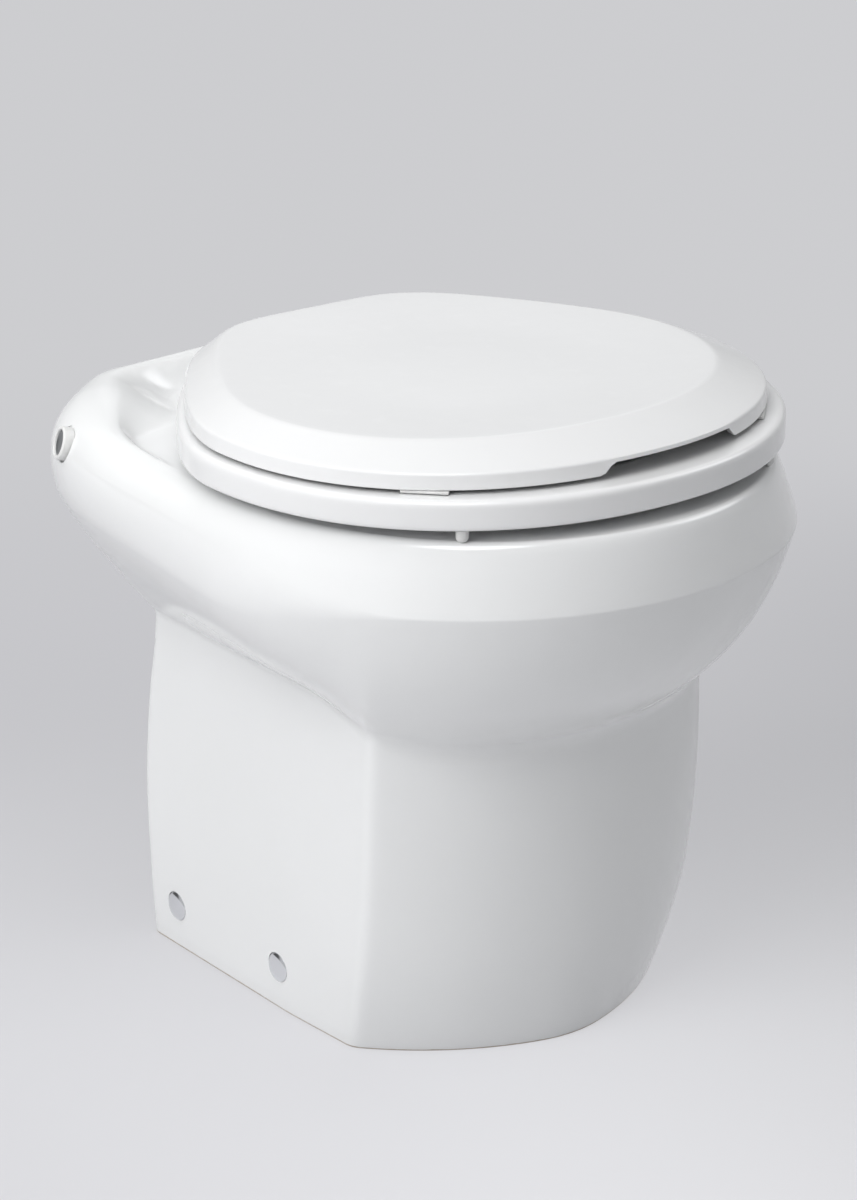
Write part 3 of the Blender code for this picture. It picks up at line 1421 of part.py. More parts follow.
def build_seal_and_plate():
    """The back plate between motor and pump, with the shaft seal in its recess."""
    bore = SHAFT_RADIUS + SEAT_GAP
    recess = SEAL_RADIUS + SEAT_GAP
    end = PLATE_START + BACK_PLATE_LENGTH
    floor = end - SEAL_LENGTH - SEAT_GAP
    plate = (
        (recess, end),
        (BACK_PLATE_RADIUS, end),
        (BACK_PLATE_RADIUS, PLATE_START),
        (bore, PLATE_START),
        (bore, floor),
        (recess, floor),
    )
    turned("back_plate", plate, DARK_PLASTIC, SHAFT_AT, ALONG, steps=20)
    inner = SHAFT_RADIUS + RUNNING_GAP
    seal = (
        (inner, end),
        (SEAL_RADIUS, end),
        (SEAL_RADIUS, end - SEAL_LENGTH),
        (inner, end - SEAL_LENGTH),
    )
    turned("shaft_seal", seal, RUBBER, SHAFT_AT, ALONG, steps=16)


def build_rotor():
    """The shaft with the impeller and the macerator blade that turn with it."""
    impeller_start = HOUSING_START + PUMP_CLEARANCE
    blade_start = CHOPPER_START + CHOPPER_THICKNESS + PUMP_CLEARANCE
    shaft_start = MOTOR_BACK - MOTOR_BORE_DEPTH + PUMP_CLEARANCE
    shaft_end = blade_start + 3.0 * BLADE_THICKNESS
    mesh = rod_mesh("pump_shaft", SHAFT_RADIUS, shaft_start, shaft_end, 16)
    place("pump_shaft", mesh, STEEL, SHAFT_AT, ALONG)

    mesh = rod_mesh("impeller", IMPELLER_RADIUS, 0.0, IMPELLER_DISC, 24)
    mesh.transform(Matrix.Translation((0.0, 0.0, impeller_start)))
    impeller = place("impeller", mesh, DARK_PLASTIC, SHAFT_AT, ALONG)
    height = IMPELLER_DISC + VANE_HEIGHT
    joined_rod(
        impeller, "impeller_hub", IMPELLER_HUB, shaft_point(impeller_start), (0, 1, 0), height, 16
    )
    for k in range(VANE_COUNT):
        a = 2.0 * math.pi * k / VANE_COUNT
        vane = prism_mesh(
            f"vane_{k}",
            vane_outline(),
            impeller_start + IMPELLER_DISC / 2.0,
            impeller_start + height,
        )
        turn = ALONG @ Matrix.Rotation(a, 3, "Z")
        boolean(impeller, place(f"vane_{k}", vane, None, SHAFT_AT, turn), "UNION")
    bore = SHAFT_RADIUS + SEAT_GAP
    start = shaft_point(impeller_start - OVERRUN)
    boolean(impeller, rod_cutter("impeller_bore", bore, start, (0, 1, 0), height + 2 * OVERRUN, 16))

    mesh = prism_mesh(
        "macerator_blade", blade_outline(), blade_start, blade_start + BLADE_THICKNESS
    )
    blade = place("macerator_blade", mesh, STEEL, SHAFT_AT, ALONG)
    joined_rod(
        blade, "blade_hub", IMPELLER_HUB, shaft_point(blade_start), (0, 1, 0), 2 * BLADE_THICKNESS, 16
    )
    start = shaft_point(blade_start - OVERRUN)
    length = 2.0 * BLADE_THICKNESS + 2.0 * OVERRUN
    boolean(blade, rod_cutter("blade_bore", bore, start, (0, 1, 0), length, 16))


def vane_outline():
    """One back-swept vane from inside the hub to the impeller's rim."""
    sweep = math.radians(48.0)
    near = IMPELLER_HUB * 0.7
    far = IMPELLER_RADIUS
    outer = []
    inner = []
    for k in range(5):
        t = k / 4.0
        r = blend(near, far, t)
        a = sweep * t * t
        half = VANE_THICKNESS / 2.0 / r
        outer.append((r * math.cos(a + half), r * math.sin(a + half)))
        inner.append((r * math.cos(a - half), r * math.sin(a - half)))
    return inner + outer[::-1]


def blade_outline():
    """A two-armed cutter with raked leading edges."""
    half = BLADE_WIDTH / 2.0
    tip = BLADE_RADIUS
    arm = [(tip * 0.8, -half), (tip, -half * 0.3), (tip * 0.94, half)]
    return arm + [(-x, -y) for x, y in arm]


def build_pump_housing():
    """Pump housing with its top inlet and side port, chopper plate and inlet cover."""
    mesh = rod_mesh("pump_housing", PUMP_RADIUS, HOUSING_START, HOUSING_END, 28)
    housing = place("pump_housing", mesh, DARK_PLASTIC, SHAFT_AT, ALONG)
    start = (0.0, OUTLET_Y, SHAFT_Z + PUMP_BORE * 0.6)
    length = INLET_TOP - start[2]
    joined_rod(housing, "inlet_outer", INLET_RADIUS, start, (0, 0, 1), length)
    start = (0.0, PORT_Y, PORT_Z)
    joined_rod(housing, "port_outer", PORT_RADIUS, start, (1, 0, 0), PORT_END)
    length = HOUSING_END - HOUSING_START + 2.0 * OVERRUN
    start = shaft_point(HOUSING_START - OVERRUN)
    boolean(housing, rod_cutter("pump_bore", PUMP_BORE, start, (0, 1, 0), length, 28))
    start = (0.0, OUTLET_Y, SHAFT_Z)
    length = INLET_TOP - SHAFT_Z + OVERRUN
    boolean(housing, rod_cutter("inlet_bore", INLET_BORE, start, (0, 0, 1), length))
    start = (0.0, PORT_Y, PORT_Z)
    boolean(housing, rod_cutter("port_bore", PORT_BORE, start, (1, 0, 0), PORT_END + OVERRUN))

    radius = PUMP_BORE - SEAT_GAP
    mesh = rod_mesh("chopper_plate", radius, CHOPPER_START, CHOPPER_START + CHOPPER_THICKNESS, 24)
    plate = place("chopper_plate", mesh, STEEL, SHAFT_AT, ALONG)
    length = CHOPPER_THICKNESS + 2.0 * OVERRUN
    start = Vector(shaft_point(CHOPPER_START - OVERRUN))
    boolean(plate, rod_cutter("eye", IMPELLER_HUB + PUMP_CLEARANCE, start, (0, 1, 0), length))
    for k in range(VANE_COUNT):
        a = 2.0 * math.pi * k / VANE_COUNT
        reach = (IMPELLER_HUB + PUMP_BORE) / 2.0
        at = start + Vector((reach * math.cos(a), 0.0, reach * math.sin(a)))
        hole = IMPELLER_HUB / 2.0
        boolean(plate, rod_cutter(f"grid_{k}", hole, at, (0, 1, 0), length, 6))

    low = HOUSING_END + SEAT_GAP
    top = low + COVER_LENGTH
    spigot = low - COVER_LENGTH
    cover = (
        (0.0, top),
        (PUMP_BORE * 0.7, top),
        (PUMP_BORE * 0.8, top - COVER_LENGTH * 0.4),
        (PUMP_RADIUS, top - COVER_LENGTH * 0.4),
        (PUMP_RADIUS, low),
        (PUMP_BORE - SEAT_GAP, low),
        (PUMP_BORE - SEAT_GAP, spigot),
        (PUMP_BORE * 0.85, spigot),
        (PUMP_BORE * 0.85, low),
        (0.0, low),
    )
    turned("inlet_cover", cover, MOTOR_PAINT, SHAFT_AT, ALONG, steps=18)


def build_cradle():
    """The steel cradle under motor and pump, on a rubber pad on the floor."""
    mesh = box_mesh(
        "cradle_pad",
        (-CRADLE_HALF_WIDTH, CRADLE_FRONT, 0.0),
        (CRADLE_HALF_WIDTH, CRADLE_REAR, PAD_HEIGHT),
    )
    place("cradle_pad", mesh, RUBBER)
    base = PAD_HEIGHT + SEAT_GAP
    mesh = box_mesh(
        "pump_cradle",
        (-CRADLE_HALF_WIDTH, CRADLE_FRONT, base),
        (CRADLE_HALF_WIDTH, CRADLE_REAR, base + CRADLE_PLATE),
    )
    cradle = place("pump_cradle", mesh, STEEL)
    middle = (CHOPPER_START + HOUSING_END) / 2.0
    saddles = (
        ("front", CRADLE_FRONT + 2.0 * SADDLE_THICKNESS, MOTOR_RADIUS),
        ("middle", MOTOR_BACK - 3.0 * SADDLE_THICKNESS, MOTOR_RADIUS),
        ("rear", middle - SADDLE_THICKNESS, PUMP_RADIUS),
    )
    for name, y, radius in saddles:
        saddle = box_cutter(
            f"saddle_{name}",
            (-CRADLE_HALF_WIDTH + CRADLE_PLATE, y, base + CRADLE_PLATE / 2.0),
            (CRADLE_HALF_WIDTH - CRADLE_PLATE, y + SADDLE_THICKNESS, SHAFT_Z - radius * 0.6),
        )
        boolean(cradle, saddle, "UNION")
        start = shaft_point(y - OVERRUN)
        length = SADDLE_THICKNESS + 2.0 * OVERRUN
        boolean(
            cradle, rod_cutter(f"bed_{name}", radius + SEAT_GAP, start, (0, 1, 0), length, 28)
        )


def clamp(name, radius, middle):
    """A band clamp round a hose end, with its screw housing."""
    low = middle - CLAMP_WIDTH / 2.0
    high = middle + CLAMP_WIDTH / 2.0
    inner = radius + SEAT_GAP
    outer = inner + CLAMP_THICKNESS
    profile = ((inner, high), (outer, high), (outer, low), (inner, low))
    band = turned(name, profile, STEEL, (0.0, OUTLET_Y, 0.0), steps=24)
    block = box_cutter(
        f"{name}_housing",
        (-CLAMP_WIDTH, OUTLET_Y + inner + CLAMP_THICKNESS / 4.0, low),
        (CLAMP_WIDTH, OUTLET_Y + outer + 2.0 * CLAMP_THICKNESS, high),
    )
    boolean(band, block, "UNION")


def build_sleeve():
    """The stepped rubber sleeve from the bowl's spigot to the pump's inlet, and its clamps."""
    small = INLET_RADIUS + SEAT_GAP
    large = SPIGOT_RADIUS + SEAT_GAP
    step_low = INLET_TOP + SEAT_GAP
    step_high = SPIGOT_BOTTOM - SEAT_GAP
    sleeve = (
        (large, SLEEVE_TOP),
        (large + SLEEVE_WALL, SLEEVE_TOP),
        (large + SLEEVE_WALL, step_high - SLEEVE_WALL),
        (small + SLEEVE_WALL, step_low - SLEEVE_WALL),
        (small + SLEEVE_WALL, SLEEVE_BOTTOM),
        (small, SLEEVE_BOTTOM),
        (small, step_low),
        (large, step_high),
    )
    turned("inlet_sleeve", sleeve, RUBBER, (0.0, OUTLET_Y, 0.0), steps=24)
    low_middle = (SLEEVE_BOTTOM + step_low - SLEEVE_WALL) / 2.0
    high_middle = (SLEEVE_TOP + step_high) / 2.0
    clamp("sleeve_clamp_lower", small + SLEEVE_WALL, low_middle)
    clamp("sleeve_clamp_upper", large + SLEEVE_WALL, high_middle)


# Discharge, out of the pump's side port and round to the rear arch


def build_joker_valve():
    """A rubber duckbill valve: a flange, then a tube that flattens to two lips."""
    start = PORT_END + SEAT_GAP
    flange = start + JOKER_FLANGE
    tip = flange + JOKER_LENGTH

    def oval(wide, high, x):
        points = []
        for k in range(12):
            a = 2.0 * math.pi * k / 12.0
            points.append(Vector((x, PORT_Y + wide * math.cos(a), PORT_Z + high * math.sin(a))))
        return points

    wall = JOKER_WALL
    base = JOKER_BASE
    lip = base * 0.95
    rings = [
        oval(PORT_RADIUS, PORT_RADIUS, start),
        oval(PORT_RADIUS, PORT_RADIUS, flange),
        oval(base, base, flange),
        oval(base, base * 0.8, blend(flange, tip, 0.4)),
        oval(lip, wall * 1.3, tip),
        oval(lip - wall, wall * 0.3, tip),
        oval(base - wall, base * 0.8 - wall, blend(flange, tip, 0.4)),
        oval(base - wall, base - wall, flange),
        oval(base - wall, base - wall, start),
    ]
    place("joker_valve", loft("joker_valve", rings, wrap=True), RUBBER)


def build_discharge():
    """The union nut and the elbow with its hose tail in the rear arch."""
    build_joker_valve()
    flange_start = PORT_END + 2.0 * SEAT_GAP + JOKER_FLANGE
    flange_end = flange_start + JOKER_FLANGE
    centre_y = PORT_Y + ELBOW_BEND
    arc = []
    for k in range(6):
        a = math.pi / 2.0 * k / 5.0
        arc.append(
            Vector(
                (
                    ELBOW_START + ELBOW_BEND * math.sin(a),
                    centre_y - ELBOW_BEND * math.cos(a),
                    PORT_Z,
                )
            )
        )
    first = Vector((flange_start, PORT_Y, PORT_Z))
    last = Vector((ELBOW_START + ELBOW_BEND, TAIL_END, PORT_Z))
    mesh = tube_mesh("discharge_elbow", [first] + arc + [last], ELBOW_RADIUS, 2)
    elbow = place("discharge_elbow", mesh, DARK_PLASTIC)
    joined_rod(elbow, "elbow_flange", ELBOW_FLANGE, first, (1, 0, 0), JOKER_FLANGE)
    before = first - Vector((OVERRUN, 0.0, 0.0))
    after = last + Vector((0.0, OVERRUN, 0.0))
    bore = tube_mesh("elbow_bore", [before] + arc + [after], ELBOW_BORE, 2)
    boolean(elbow, place("elbow_bore", bore))

    grip = PORT_RADIUS + SEAT_GAP
    room = ELBOW_FLANGE + SEAT_GAP
    neck = ELBOW_RADIUS + SEAT_GAP
    far = flange_end + SEAT_GAP
    nut = (
        (neck, far + UNION_LIP),
        (UNION_RADIUS, far + UNION_LIP),
        (UNION_RADIUS, PORT_END - UNION_GRIP),
        (grip, PORT_END - UNION_GRIP),
        (grip, PORT_END),
        (room, PORT_END),
        (room, far),
        (neck, far),
    )
    turned("union_nut", nut, MOTOR_PAINT, (0.0, PORT_Y, PORT_Z), aimed((1, 0, 0)), steps=20)


# Rinse valve, its stand, hose and spud


def build_rinse_valve():
    """The solenoid valve: body with two barbs, coil, plunger and plunger spring."""
    low = RINSE_BOTTOM
    top = low + RINSE_HEIGHT
    plunger_y = RINSE_Y - COIL_FORWARD
    plunger_low = low + PLUNGER_SEAT
    at = (RINSE_X, plunger_y, 0.0)
    mesh = box_mesh(
        "rinse_valve_body",
        (RINSE_X - RINSE_WIDTH / 2.0, RINSE_Y - RINSE_DEPTH / 2.0, low),
        (RINSE_X + RINSE_WIDTH / 2.0, RINSE_Y + RINSE_DEPTH / 2.0, top),
    )
    body = place("rinse_valve_body", mesh, BRASS)
    middle = (low + top) / 2.0
    start = (RINSE_X, RINSE_Y, middle)
    length = RINSE_DEPTH / 2.0 + RINSE_BARB_LENGTH
    joined_rod(body, "inlet_barb", RINSE_BARB_RADIUS, start, (0, 1, 0), length, 16)
    start = (RINSE_X, RINSE_Y + OUTLET_BARB_BACK, middle)
    length = top - middle + RINSE_BARB_LENGTH
    joined_rod(body, "outlet_barb", RINSE_BARB_RADIUS, start, (0, 0, 1), length, 16)
    bore = PLUNGER_RADIUS + RUNNING_GAP
    start = (RINSE_X, plunger_y, plunger_low - SEAT_GAP)
    boolean(body, rod_cutter("plunger_well", bore, start, (0, 0, 1), RINSE_HEIGHT, 20))

    coil_low = top + SEAT_GAP
    coil_top = coil_low + COIL_HEIGHT
    half = COIL_WIDTH / 2.0
    mesh = box_mesh(
        "rinse_valve_coil",
        (RINSE_X - half, plunger_y - half, coil_low),
        (RINSE_X + half, plunger_y + half, coil_top),
    )
    coil = place("rinse_valve_coil", mesh, DARK_PLASTIC)
    start = (RINSE_X, plunger_y, coil_low - OVERRUN)
    length = COIL_HEIGHT + OVERRUN - COIL_CAP
    boolean(coil, rod_cutter("coil_bore", bore, start, (0, 0, 1), length, 20))

    plunger_top = plunger_low + PLUNGER_HEIGHT
    mesh = rod_mesh("rinse_plunger", PLUNGER_RADIUS, plunger_low, plunger_top, 20)
    place("rinse_plunger", mesh, STEEL, at)

    spring_low = plunger_top + SEAT_GAP + SPRING_WIRE
    spring_top = coil_top - COIL_CAP - SEAT_GAP - SPRING_WIRE
    count = SPRING_TURNS * 8
    route = []
    for k in range(count + 1):
        a = 2.0 * math.pi * k / 8.0
        rise = blend(spring_low, spring_top, k / count)
        route.append((SPRING_RADIUS * math.cos(a), SPRING_RADIUS * math.sin(a), rise))
    place("rinse_spring", tube_mesh("rinse_spring", route, SPRING_WIRE, 0), STEEL, at)

    half = STAND_WIDTH / 2.0
    mesh = box_mesh(
        "valve_stand",
        (RINSE_X - half, RINSE_Y, BRACKET_THICKNESS + SEAT_GAP),
        (RINSE_X + half, RINSE_Y + STAND_THICKNESS, low - SEAT_GAP),
    )
    stand = place("valve_stand", mesh, STEEL)
    for name, at_low in (("foot", BRACKET_THICKNESS + SEAT_GAP), ("shelf", low - SEAT_GAP)):
        high = at_low + STAND_THICKNESS
        if name == "shelf":
            high = at_low
            at_low = at_low - STAND_THICKNESS
        leg = box_cutter(
            f"stand_{name}",
            (RINSE_X - half, RINSE_Y - STAND_FOOT, at_low),
            (RINSE_X + half, RINSE_Y + STAND_THICKNESS, high),
        )
        boolean(stand, leg, "UNION")


def smooth_route(points, per_span):
    """A smooth curve through the points, straight at both ends."""
    route = []
    ends = [points[0] * 2.0 - points[1]] + points + [points[-1] * 2.0 - points[-2]]
    for a, b, c, d in zip(ends, ends[1:], ends[2:], ends[3:]):
        for k in range(per_span):
            t = k / per_span
            route.append(
                0.5
                * (
                    2.0 * b
                    + (c - a) * t
                    + (2.0 * a - 5.0 * b + 4.0 * c - d) * t**2
                    + (3.0 * b - a - 3.0 * c + d) * t**3
                )
            )
    route.append(points[-1])
    return route


def spud_back():
    """Where the spud's barb hangs, behind the bowl's back wall."""
    at = probe(CASTING_TREE, (SPUD_X, 0.0, SPUD_Z), (0, 1, 0))
    return at.y


def build_rinse_line():
    """The spud through the bowl's back wall, and the hose up to it from the valve."""
    wall_y = spud_back()
    mesh = rod_mesh("rinse_spud", SPUD_RADIUS, -SPUD_REACH, WALL + SPUD_OUT, 20)
    spud = place("rinse_spud", mesh, WHITE_PLASTIC, (SPUD_X, wall_y, SPUD_Z), aimed((0, 1, 0)))
    barb_y = wall_y + WALL + SPUD_OUT - SPUD_RADIUS
    start = (SPUD_X, barb_y, SPUD_Z - SPUD_DROP)
    joined_rod(spud, "spud_barb", RINSE_BARB_RADIUS, start, (0, 0, 1), SPUD_DROP, 20)

    valve_top = RINSE_BOTTOM + RINSE_HEIGHT
    first = Vector((RINSE_X, RINSE_Y + OUTLET_BARB_BACK, valve_top + SEAT_GAP))
    straight = RINSE_BARB_LENGTH * 1.4
    last = Vector((SPUD_X, barb_y, SPUD_Z - SPUD_RADIUS - SEAT_GAP))
    points = [
        first,
        first + Vector((0.0, 0.0, straight)),
        Vector((RINSE_X, first.y, blend(valve_top, SPUD_Z, 0.45))),
        Vector((RINSE_X * 0.97, blend(first.y, barb_y, 0.15), blend(valve_top, SPUD_Z, 0.68))),
        Vector((blend(RINSE_X, SPUD_X, 0.45), blend(first.y, barb_y, 0.9), blend(valve_top, last.z, 0.76))),
        last - Vector((0.0, 0.0, SPUD_DROP * 1.4)),
        last - Vector((0.0, 0.0, SPUD_DROP * 0.7)),
        last,
    ]
    route = smooth_route(points, 2)
    mesh = tube_mesh("rinse_hose", route, HOSE_RADIUS, 2)
    hose = place("rinse_hose", mesh, RUBBER)
    up = Vector((0.0, 0.0, OVERRUN))
    bore = (RINSE_BARB_RADIUS + SEAT_GAP) / math.cos(math.pi / 8.0)
    inner = tube_mesh("hose_bore", [route[0] - up] + route + [route[-1] + up], bore, 2)
    boolean(hose, place("hose_bore", inner))


build_casting()
build_seat()
build_lid()
build_bumpers()
build_hinges()
build_button()
build_fixings()
build_motor()
build_seal_and_plate()
build_rotor()
build_pump_housing()
build_cradle()
build_sleeve()
build_discharge()
build_rinse_valve()
build_rinse_line()
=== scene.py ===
"""Electric marine toilet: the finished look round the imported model.

Metres, +Z up. The front faces -Y and the wall side is +Y. The casting, the seat
and the lid are made again here with fine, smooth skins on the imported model's own
sizes. The smaller pieces are turned or bevelled, and the hidden ones are refined
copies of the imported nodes.
"""

import json
import logging
import math
from abc import ABC, abstractmethod
from collections.abc import Callable, Sequence
from dataclasses import dataclass
from enum import Enum

import bmesh
import bpy
import numpy as np
from mathutils import Matrix, Vector

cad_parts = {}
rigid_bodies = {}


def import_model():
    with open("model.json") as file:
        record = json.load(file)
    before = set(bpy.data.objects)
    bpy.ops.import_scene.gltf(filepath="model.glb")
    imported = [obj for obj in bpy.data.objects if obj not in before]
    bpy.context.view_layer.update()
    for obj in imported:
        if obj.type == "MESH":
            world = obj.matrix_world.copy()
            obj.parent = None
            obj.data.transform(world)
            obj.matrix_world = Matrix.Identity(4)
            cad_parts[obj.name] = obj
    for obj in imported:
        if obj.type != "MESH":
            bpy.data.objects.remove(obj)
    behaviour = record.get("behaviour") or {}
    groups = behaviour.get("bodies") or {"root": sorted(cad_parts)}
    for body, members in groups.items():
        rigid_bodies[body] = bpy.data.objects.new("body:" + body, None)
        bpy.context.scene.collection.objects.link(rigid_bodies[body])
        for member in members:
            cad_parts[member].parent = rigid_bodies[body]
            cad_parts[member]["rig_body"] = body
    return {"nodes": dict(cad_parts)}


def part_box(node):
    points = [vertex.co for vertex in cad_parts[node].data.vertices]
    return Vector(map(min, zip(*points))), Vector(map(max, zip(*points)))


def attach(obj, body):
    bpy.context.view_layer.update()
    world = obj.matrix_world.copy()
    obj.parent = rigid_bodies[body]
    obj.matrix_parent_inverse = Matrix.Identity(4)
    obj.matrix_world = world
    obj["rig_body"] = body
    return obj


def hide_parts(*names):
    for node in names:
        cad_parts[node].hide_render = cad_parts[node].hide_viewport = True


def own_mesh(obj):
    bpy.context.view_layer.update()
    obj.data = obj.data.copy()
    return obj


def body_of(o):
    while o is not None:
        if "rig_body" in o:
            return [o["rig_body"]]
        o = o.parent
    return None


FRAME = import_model()

LOG = logging.getLogger("toilet")
PACKED_SLOTS = {
    name: node.data.materials[0].name.split(".")[0] for name, node in FRAME["nodes"].items()
}
TURN = 2.0 * math.pi
QUARTER = math.pi / 2.0
UP = Vector((0.0, 0.0, 1.0))
ACROSS = Vector((1.0, 0.0, 0.0))
REARWARD = Vector((0.0, 1.0, 0.0))

# Shared places in metres: the casting's middle along Y and the rim's height
MIDDLE_Y = -0.0175
RIM = 0.335

# Shared lengths in metres: points this near become one, pieces stand this far apart,
# pins have this much play, and a cutter reaches this far past what it cuts
MERGE = 0.000001
GAP = 0.0003
PIN_GAP = 0.0001
OVERRUN = 0.004

# Edges stay sharp above this angle in degrees
CREASE = 35.0

# How the plan outlines are drawn: steps, powers, and where their rounding changes
BULGE_STEPS = 60
EASE_STEPS = 500
EASE_MIDDLE = 0.02
EASE_FADE = 0.03
SQUARED_STEPS = 160
SQUARED_FRONT_POWER = 2.15
SQUARED_REAR_POWER = 5
SQUARED_TAPER = 0.88
SLOPE_STEP = math.radians(1.0)

# A corner's rounding takes up at most this share of a run
LONGEST_ROUNDING_SHARE = 0.45

# The Mix node's sockets of its share and colours, and its colour result
MIX_INPUTS = (0, 6, 7)
MIX_OUTPUT = 2

ENDS = ("front", "rear")

Number = float | np.ndarray
Outline = Callable[[np.ndarray], np.ndarray]
Height = Callable[[np.ndarray], np.ndarray]
Corner = tuple[float, float, float]
Colour = tuple[float, float, float]
Span = tuple[float, float]


class Side(Enum):
    """The two hands of the object, as signs along X."""

    LEFT = 1.0
    RIGHT = -1.0

    @property
    def word(self) -> str:
        """The side's name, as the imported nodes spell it."""
        return self.name.lower()

    @property
    def outward(self) -> Vector:
        """The direction away from the middle."""
        return ACROSS * self.value

    def across(self, span: Span) -> list[float]:
        """A stretch across, given for the positive side: its two ends here, lowest first."""
        return sorted(self.value * end for end in span)

    def cap_seat(self, end: str) -> Vector:
        """Where a fixing cap meets its seat on this side.

        Args:
            end: The cap's end of the pedestal, front or rear.

        Returns:
            The middle of the seat.
        """
        low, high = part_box(f"fixing_cap_{end}_{self.word}")
        middle = (low + high) / 2.0
        inner = low.x if self is Side.LEFT else high.x
        return Vector((inner - self.value * GAP, middle.y, middle.z))


# Plan outlines and sections


def fold(angle: np.ndarray) -> np.ndarray:
    """The same directions on one half of the object."""
    return np.minimum(angle, TURN - angle)


def smooth(value: np.ndarray, low: float, high: float) -> np.ndarray:
    """0 below low and 1 above high, both in degrees, with an eased step between."""
    return swell(np.clip((np.degrees(value) - low) / (high - low), 0.0, 1.0))


def swell(share: Number) -> Number:
    """A share from 0 to 1 with a slow start and a slow end."""
    return share * share * (3.0 - 2.0 * share)


def blend(first: Number, second: Number, share: Number) -> Number:
    """Between two values or arrays, by a share."""
    return first + (second - first) * share


def egg(half_width: float, front: float, rear: float, power: float) -> Outline:
    """An ellipse in front that is squared off behind.

    Args:
        half_width: Half of the greatest width.
        front: The reach towards -Y.
        rear: The reach towards +Y.
        power: How square the rear half is; 2 is an ellipse.

    Returns:
        The outline's radius for directions measured from -Y.
    """

    def radius(angle: np.ndarray) -> np.ndarray:
        """The radius in each direction.

        Args:
            angle: The directions.

        Returns:
            The radii.
        """
        side = np.abs(np.sin(angle)) / half_width
        along = np.cos(angle)
        fore = (side**2 + (np.maximum(along, 0.0) / front) ** 2) ** -0.5
        aft = (side**power + (np.maximum(-along, 0.0) / rear) ** power) ** (-1.0 / power)
        return np.where(along >= 0.0, fore, aft)

    return radius


def circle(radius: float) -> Outline:
    """A circle of a radius."""
    return lambda angle: np.full(len(angle), radius)


def filleted(corners: Sequence[Corner], steps: int = 20) -> np.ndarray:
    """Points along a path with an arc at each corner.

    Args:
        corners: The path's corners as x, y and fillet radius.
        steps: The number of steps in each arc.

    Returns:
        The points, one row each.
    """
    points = [Vector(corners[0][:2])]
    for before, corner, after in zip(corners, corners[1:], corners[2:]):
        here = Vector(corner[:2])
        to_before = (Vector(before[:2]) - here).normalized()
        to_after = (Vector(after[:2]) - here).normalized()
        half = to_before.angle(to_after) / 2.0
        back = corner[2] / math.tan(half)
        centre = here + (to_before + to_after).normalized() * corner[2] / math.sin(half)
        start = here + to_before * back - centre
        turn = start.angle_signed(here + to_after * back - centre)
        for k in range(steps + 1):
            points.append(centre + Matrix.Rotation(-turn * k / steps, 2) @ start)
    points.append(Vector(corners[-1][:2]))
    return np.array([tuple(p) for p in points])


def bulged(start: np.ndarray, end: np.ndarray, bulge: float) -> np.ndarray:
    """Points from one corner towards the next, bowed outwards.

    Args:
        start: The first corner.
        end: The next corner, which isn't among the points.
        bulge: How far the middle lies outside the straight line.

    Returns:
        The points, one row each.
    """
    along = end - start
    share = np.linspace(0.0, 1.0, BULGE_STEPS, endpoint=False)[:, None]
    out = np.array((-along[1], along[0])) / np.linalg.norm(along)
    if out[0] < 0.0:
        out = -out
    return start + along * share + out * bulge * 4.0 * share * (1.0 - share)


def eased(points: np.ndarray, soft: float, front_soft: float) -> np.ndarray:
    """Round the corners of a half outline by a sliding mean.

    Args:
        points: The half outline from front to rear.
        soft: How far the mean reaches along the outline.
        front_soft: The same near the middle line in front.

    Returns:
        The rounded half outline, ending on the middle line.
    """
    path = np.concatenate((points, [(0.0, points[-1][1])]))
    steps = np.linalg.norm(np.diff(path, axis=0), axis=1)
    lengths = np.concatenate(([0.0], np.cumsum(steps)))
    even = np.linspace(0.0, lengths[-1], EASE_STEPS)
    path = np.column_stack([np.interp(even, lengths, path[:, k]) for k in (0, 1)])
    mirror = path * (-1.0, 1.0)
    whole = np.concatenate((mirror[:0:-1], path, mirror[-2::-1]))

    def mean(reach: float) -> np.ndarray:
        """The outline after two passes of a mean.

        Args:
            reach: How far each pass reaches along the outline.

        Returns:
            The half outline.
        """
        half = max(round(reach / lengths[-1] * EASE_STEPS), 1)
        kernel = np.ones(2 * half + 1) / (2 * half + 1)
        kernel = np.convolve(kernel, kernel)
        sides = [np.convolve(whole[:, k], kernel, "same") for k in (0, 1)]
        return np.column_stack(sides)[EASE_STEPS - 1 : 2 * EASE_STEPS - 1]

    far = np.clip((np.abs(path[:, :1]) - EASE_MIDDLE) / EASE_FADE, 0.0, 1.0)
    far = np.where(path[:, 1:] < 0.0, far, 1.0)
    made = blend(mean(front_soft), mean(soft), swell(far))
    made[0, 0] = made[-1, 0] = 0.0
    return made


def traced(points: np.ndarray, centre_y: float) -> Outline:
    """The radius of a half outline seen from a centre on the middle line.

    Args:
        points: The half outline from front to rear, one point a row.
        centre_y: Where the directions are measured from.

    Returns:
        The outline's radius for directions measured from -Y.
    """
    arms = np.column_stack((points[:, 0], centre_y - points[:, 1]))
    angles = np.arctan2(arms[:, 0], arms[:, 1])

    def radius(angle: np.ndarray) -> np.ndarray:
        """The radius in each direction.

        Args:
            angle: The directions.

        Returns:
            The radii.
        """
        at = fold(angle)
        k = np.clip(np.searchsorted(angles, at), 1, len(arms) - 1)
        start = arms[k - 1]
        along = arms[k] - start
        look = np.column_stack((np.sin(at), np.cos(at)))
        met = start[:, 0] * along[:, 1] - start[:, 1] * along[:, 0]
        return met / (look[:, 0] * along[:, 1] - look[:, 1] * along[:, 0])

    return radius


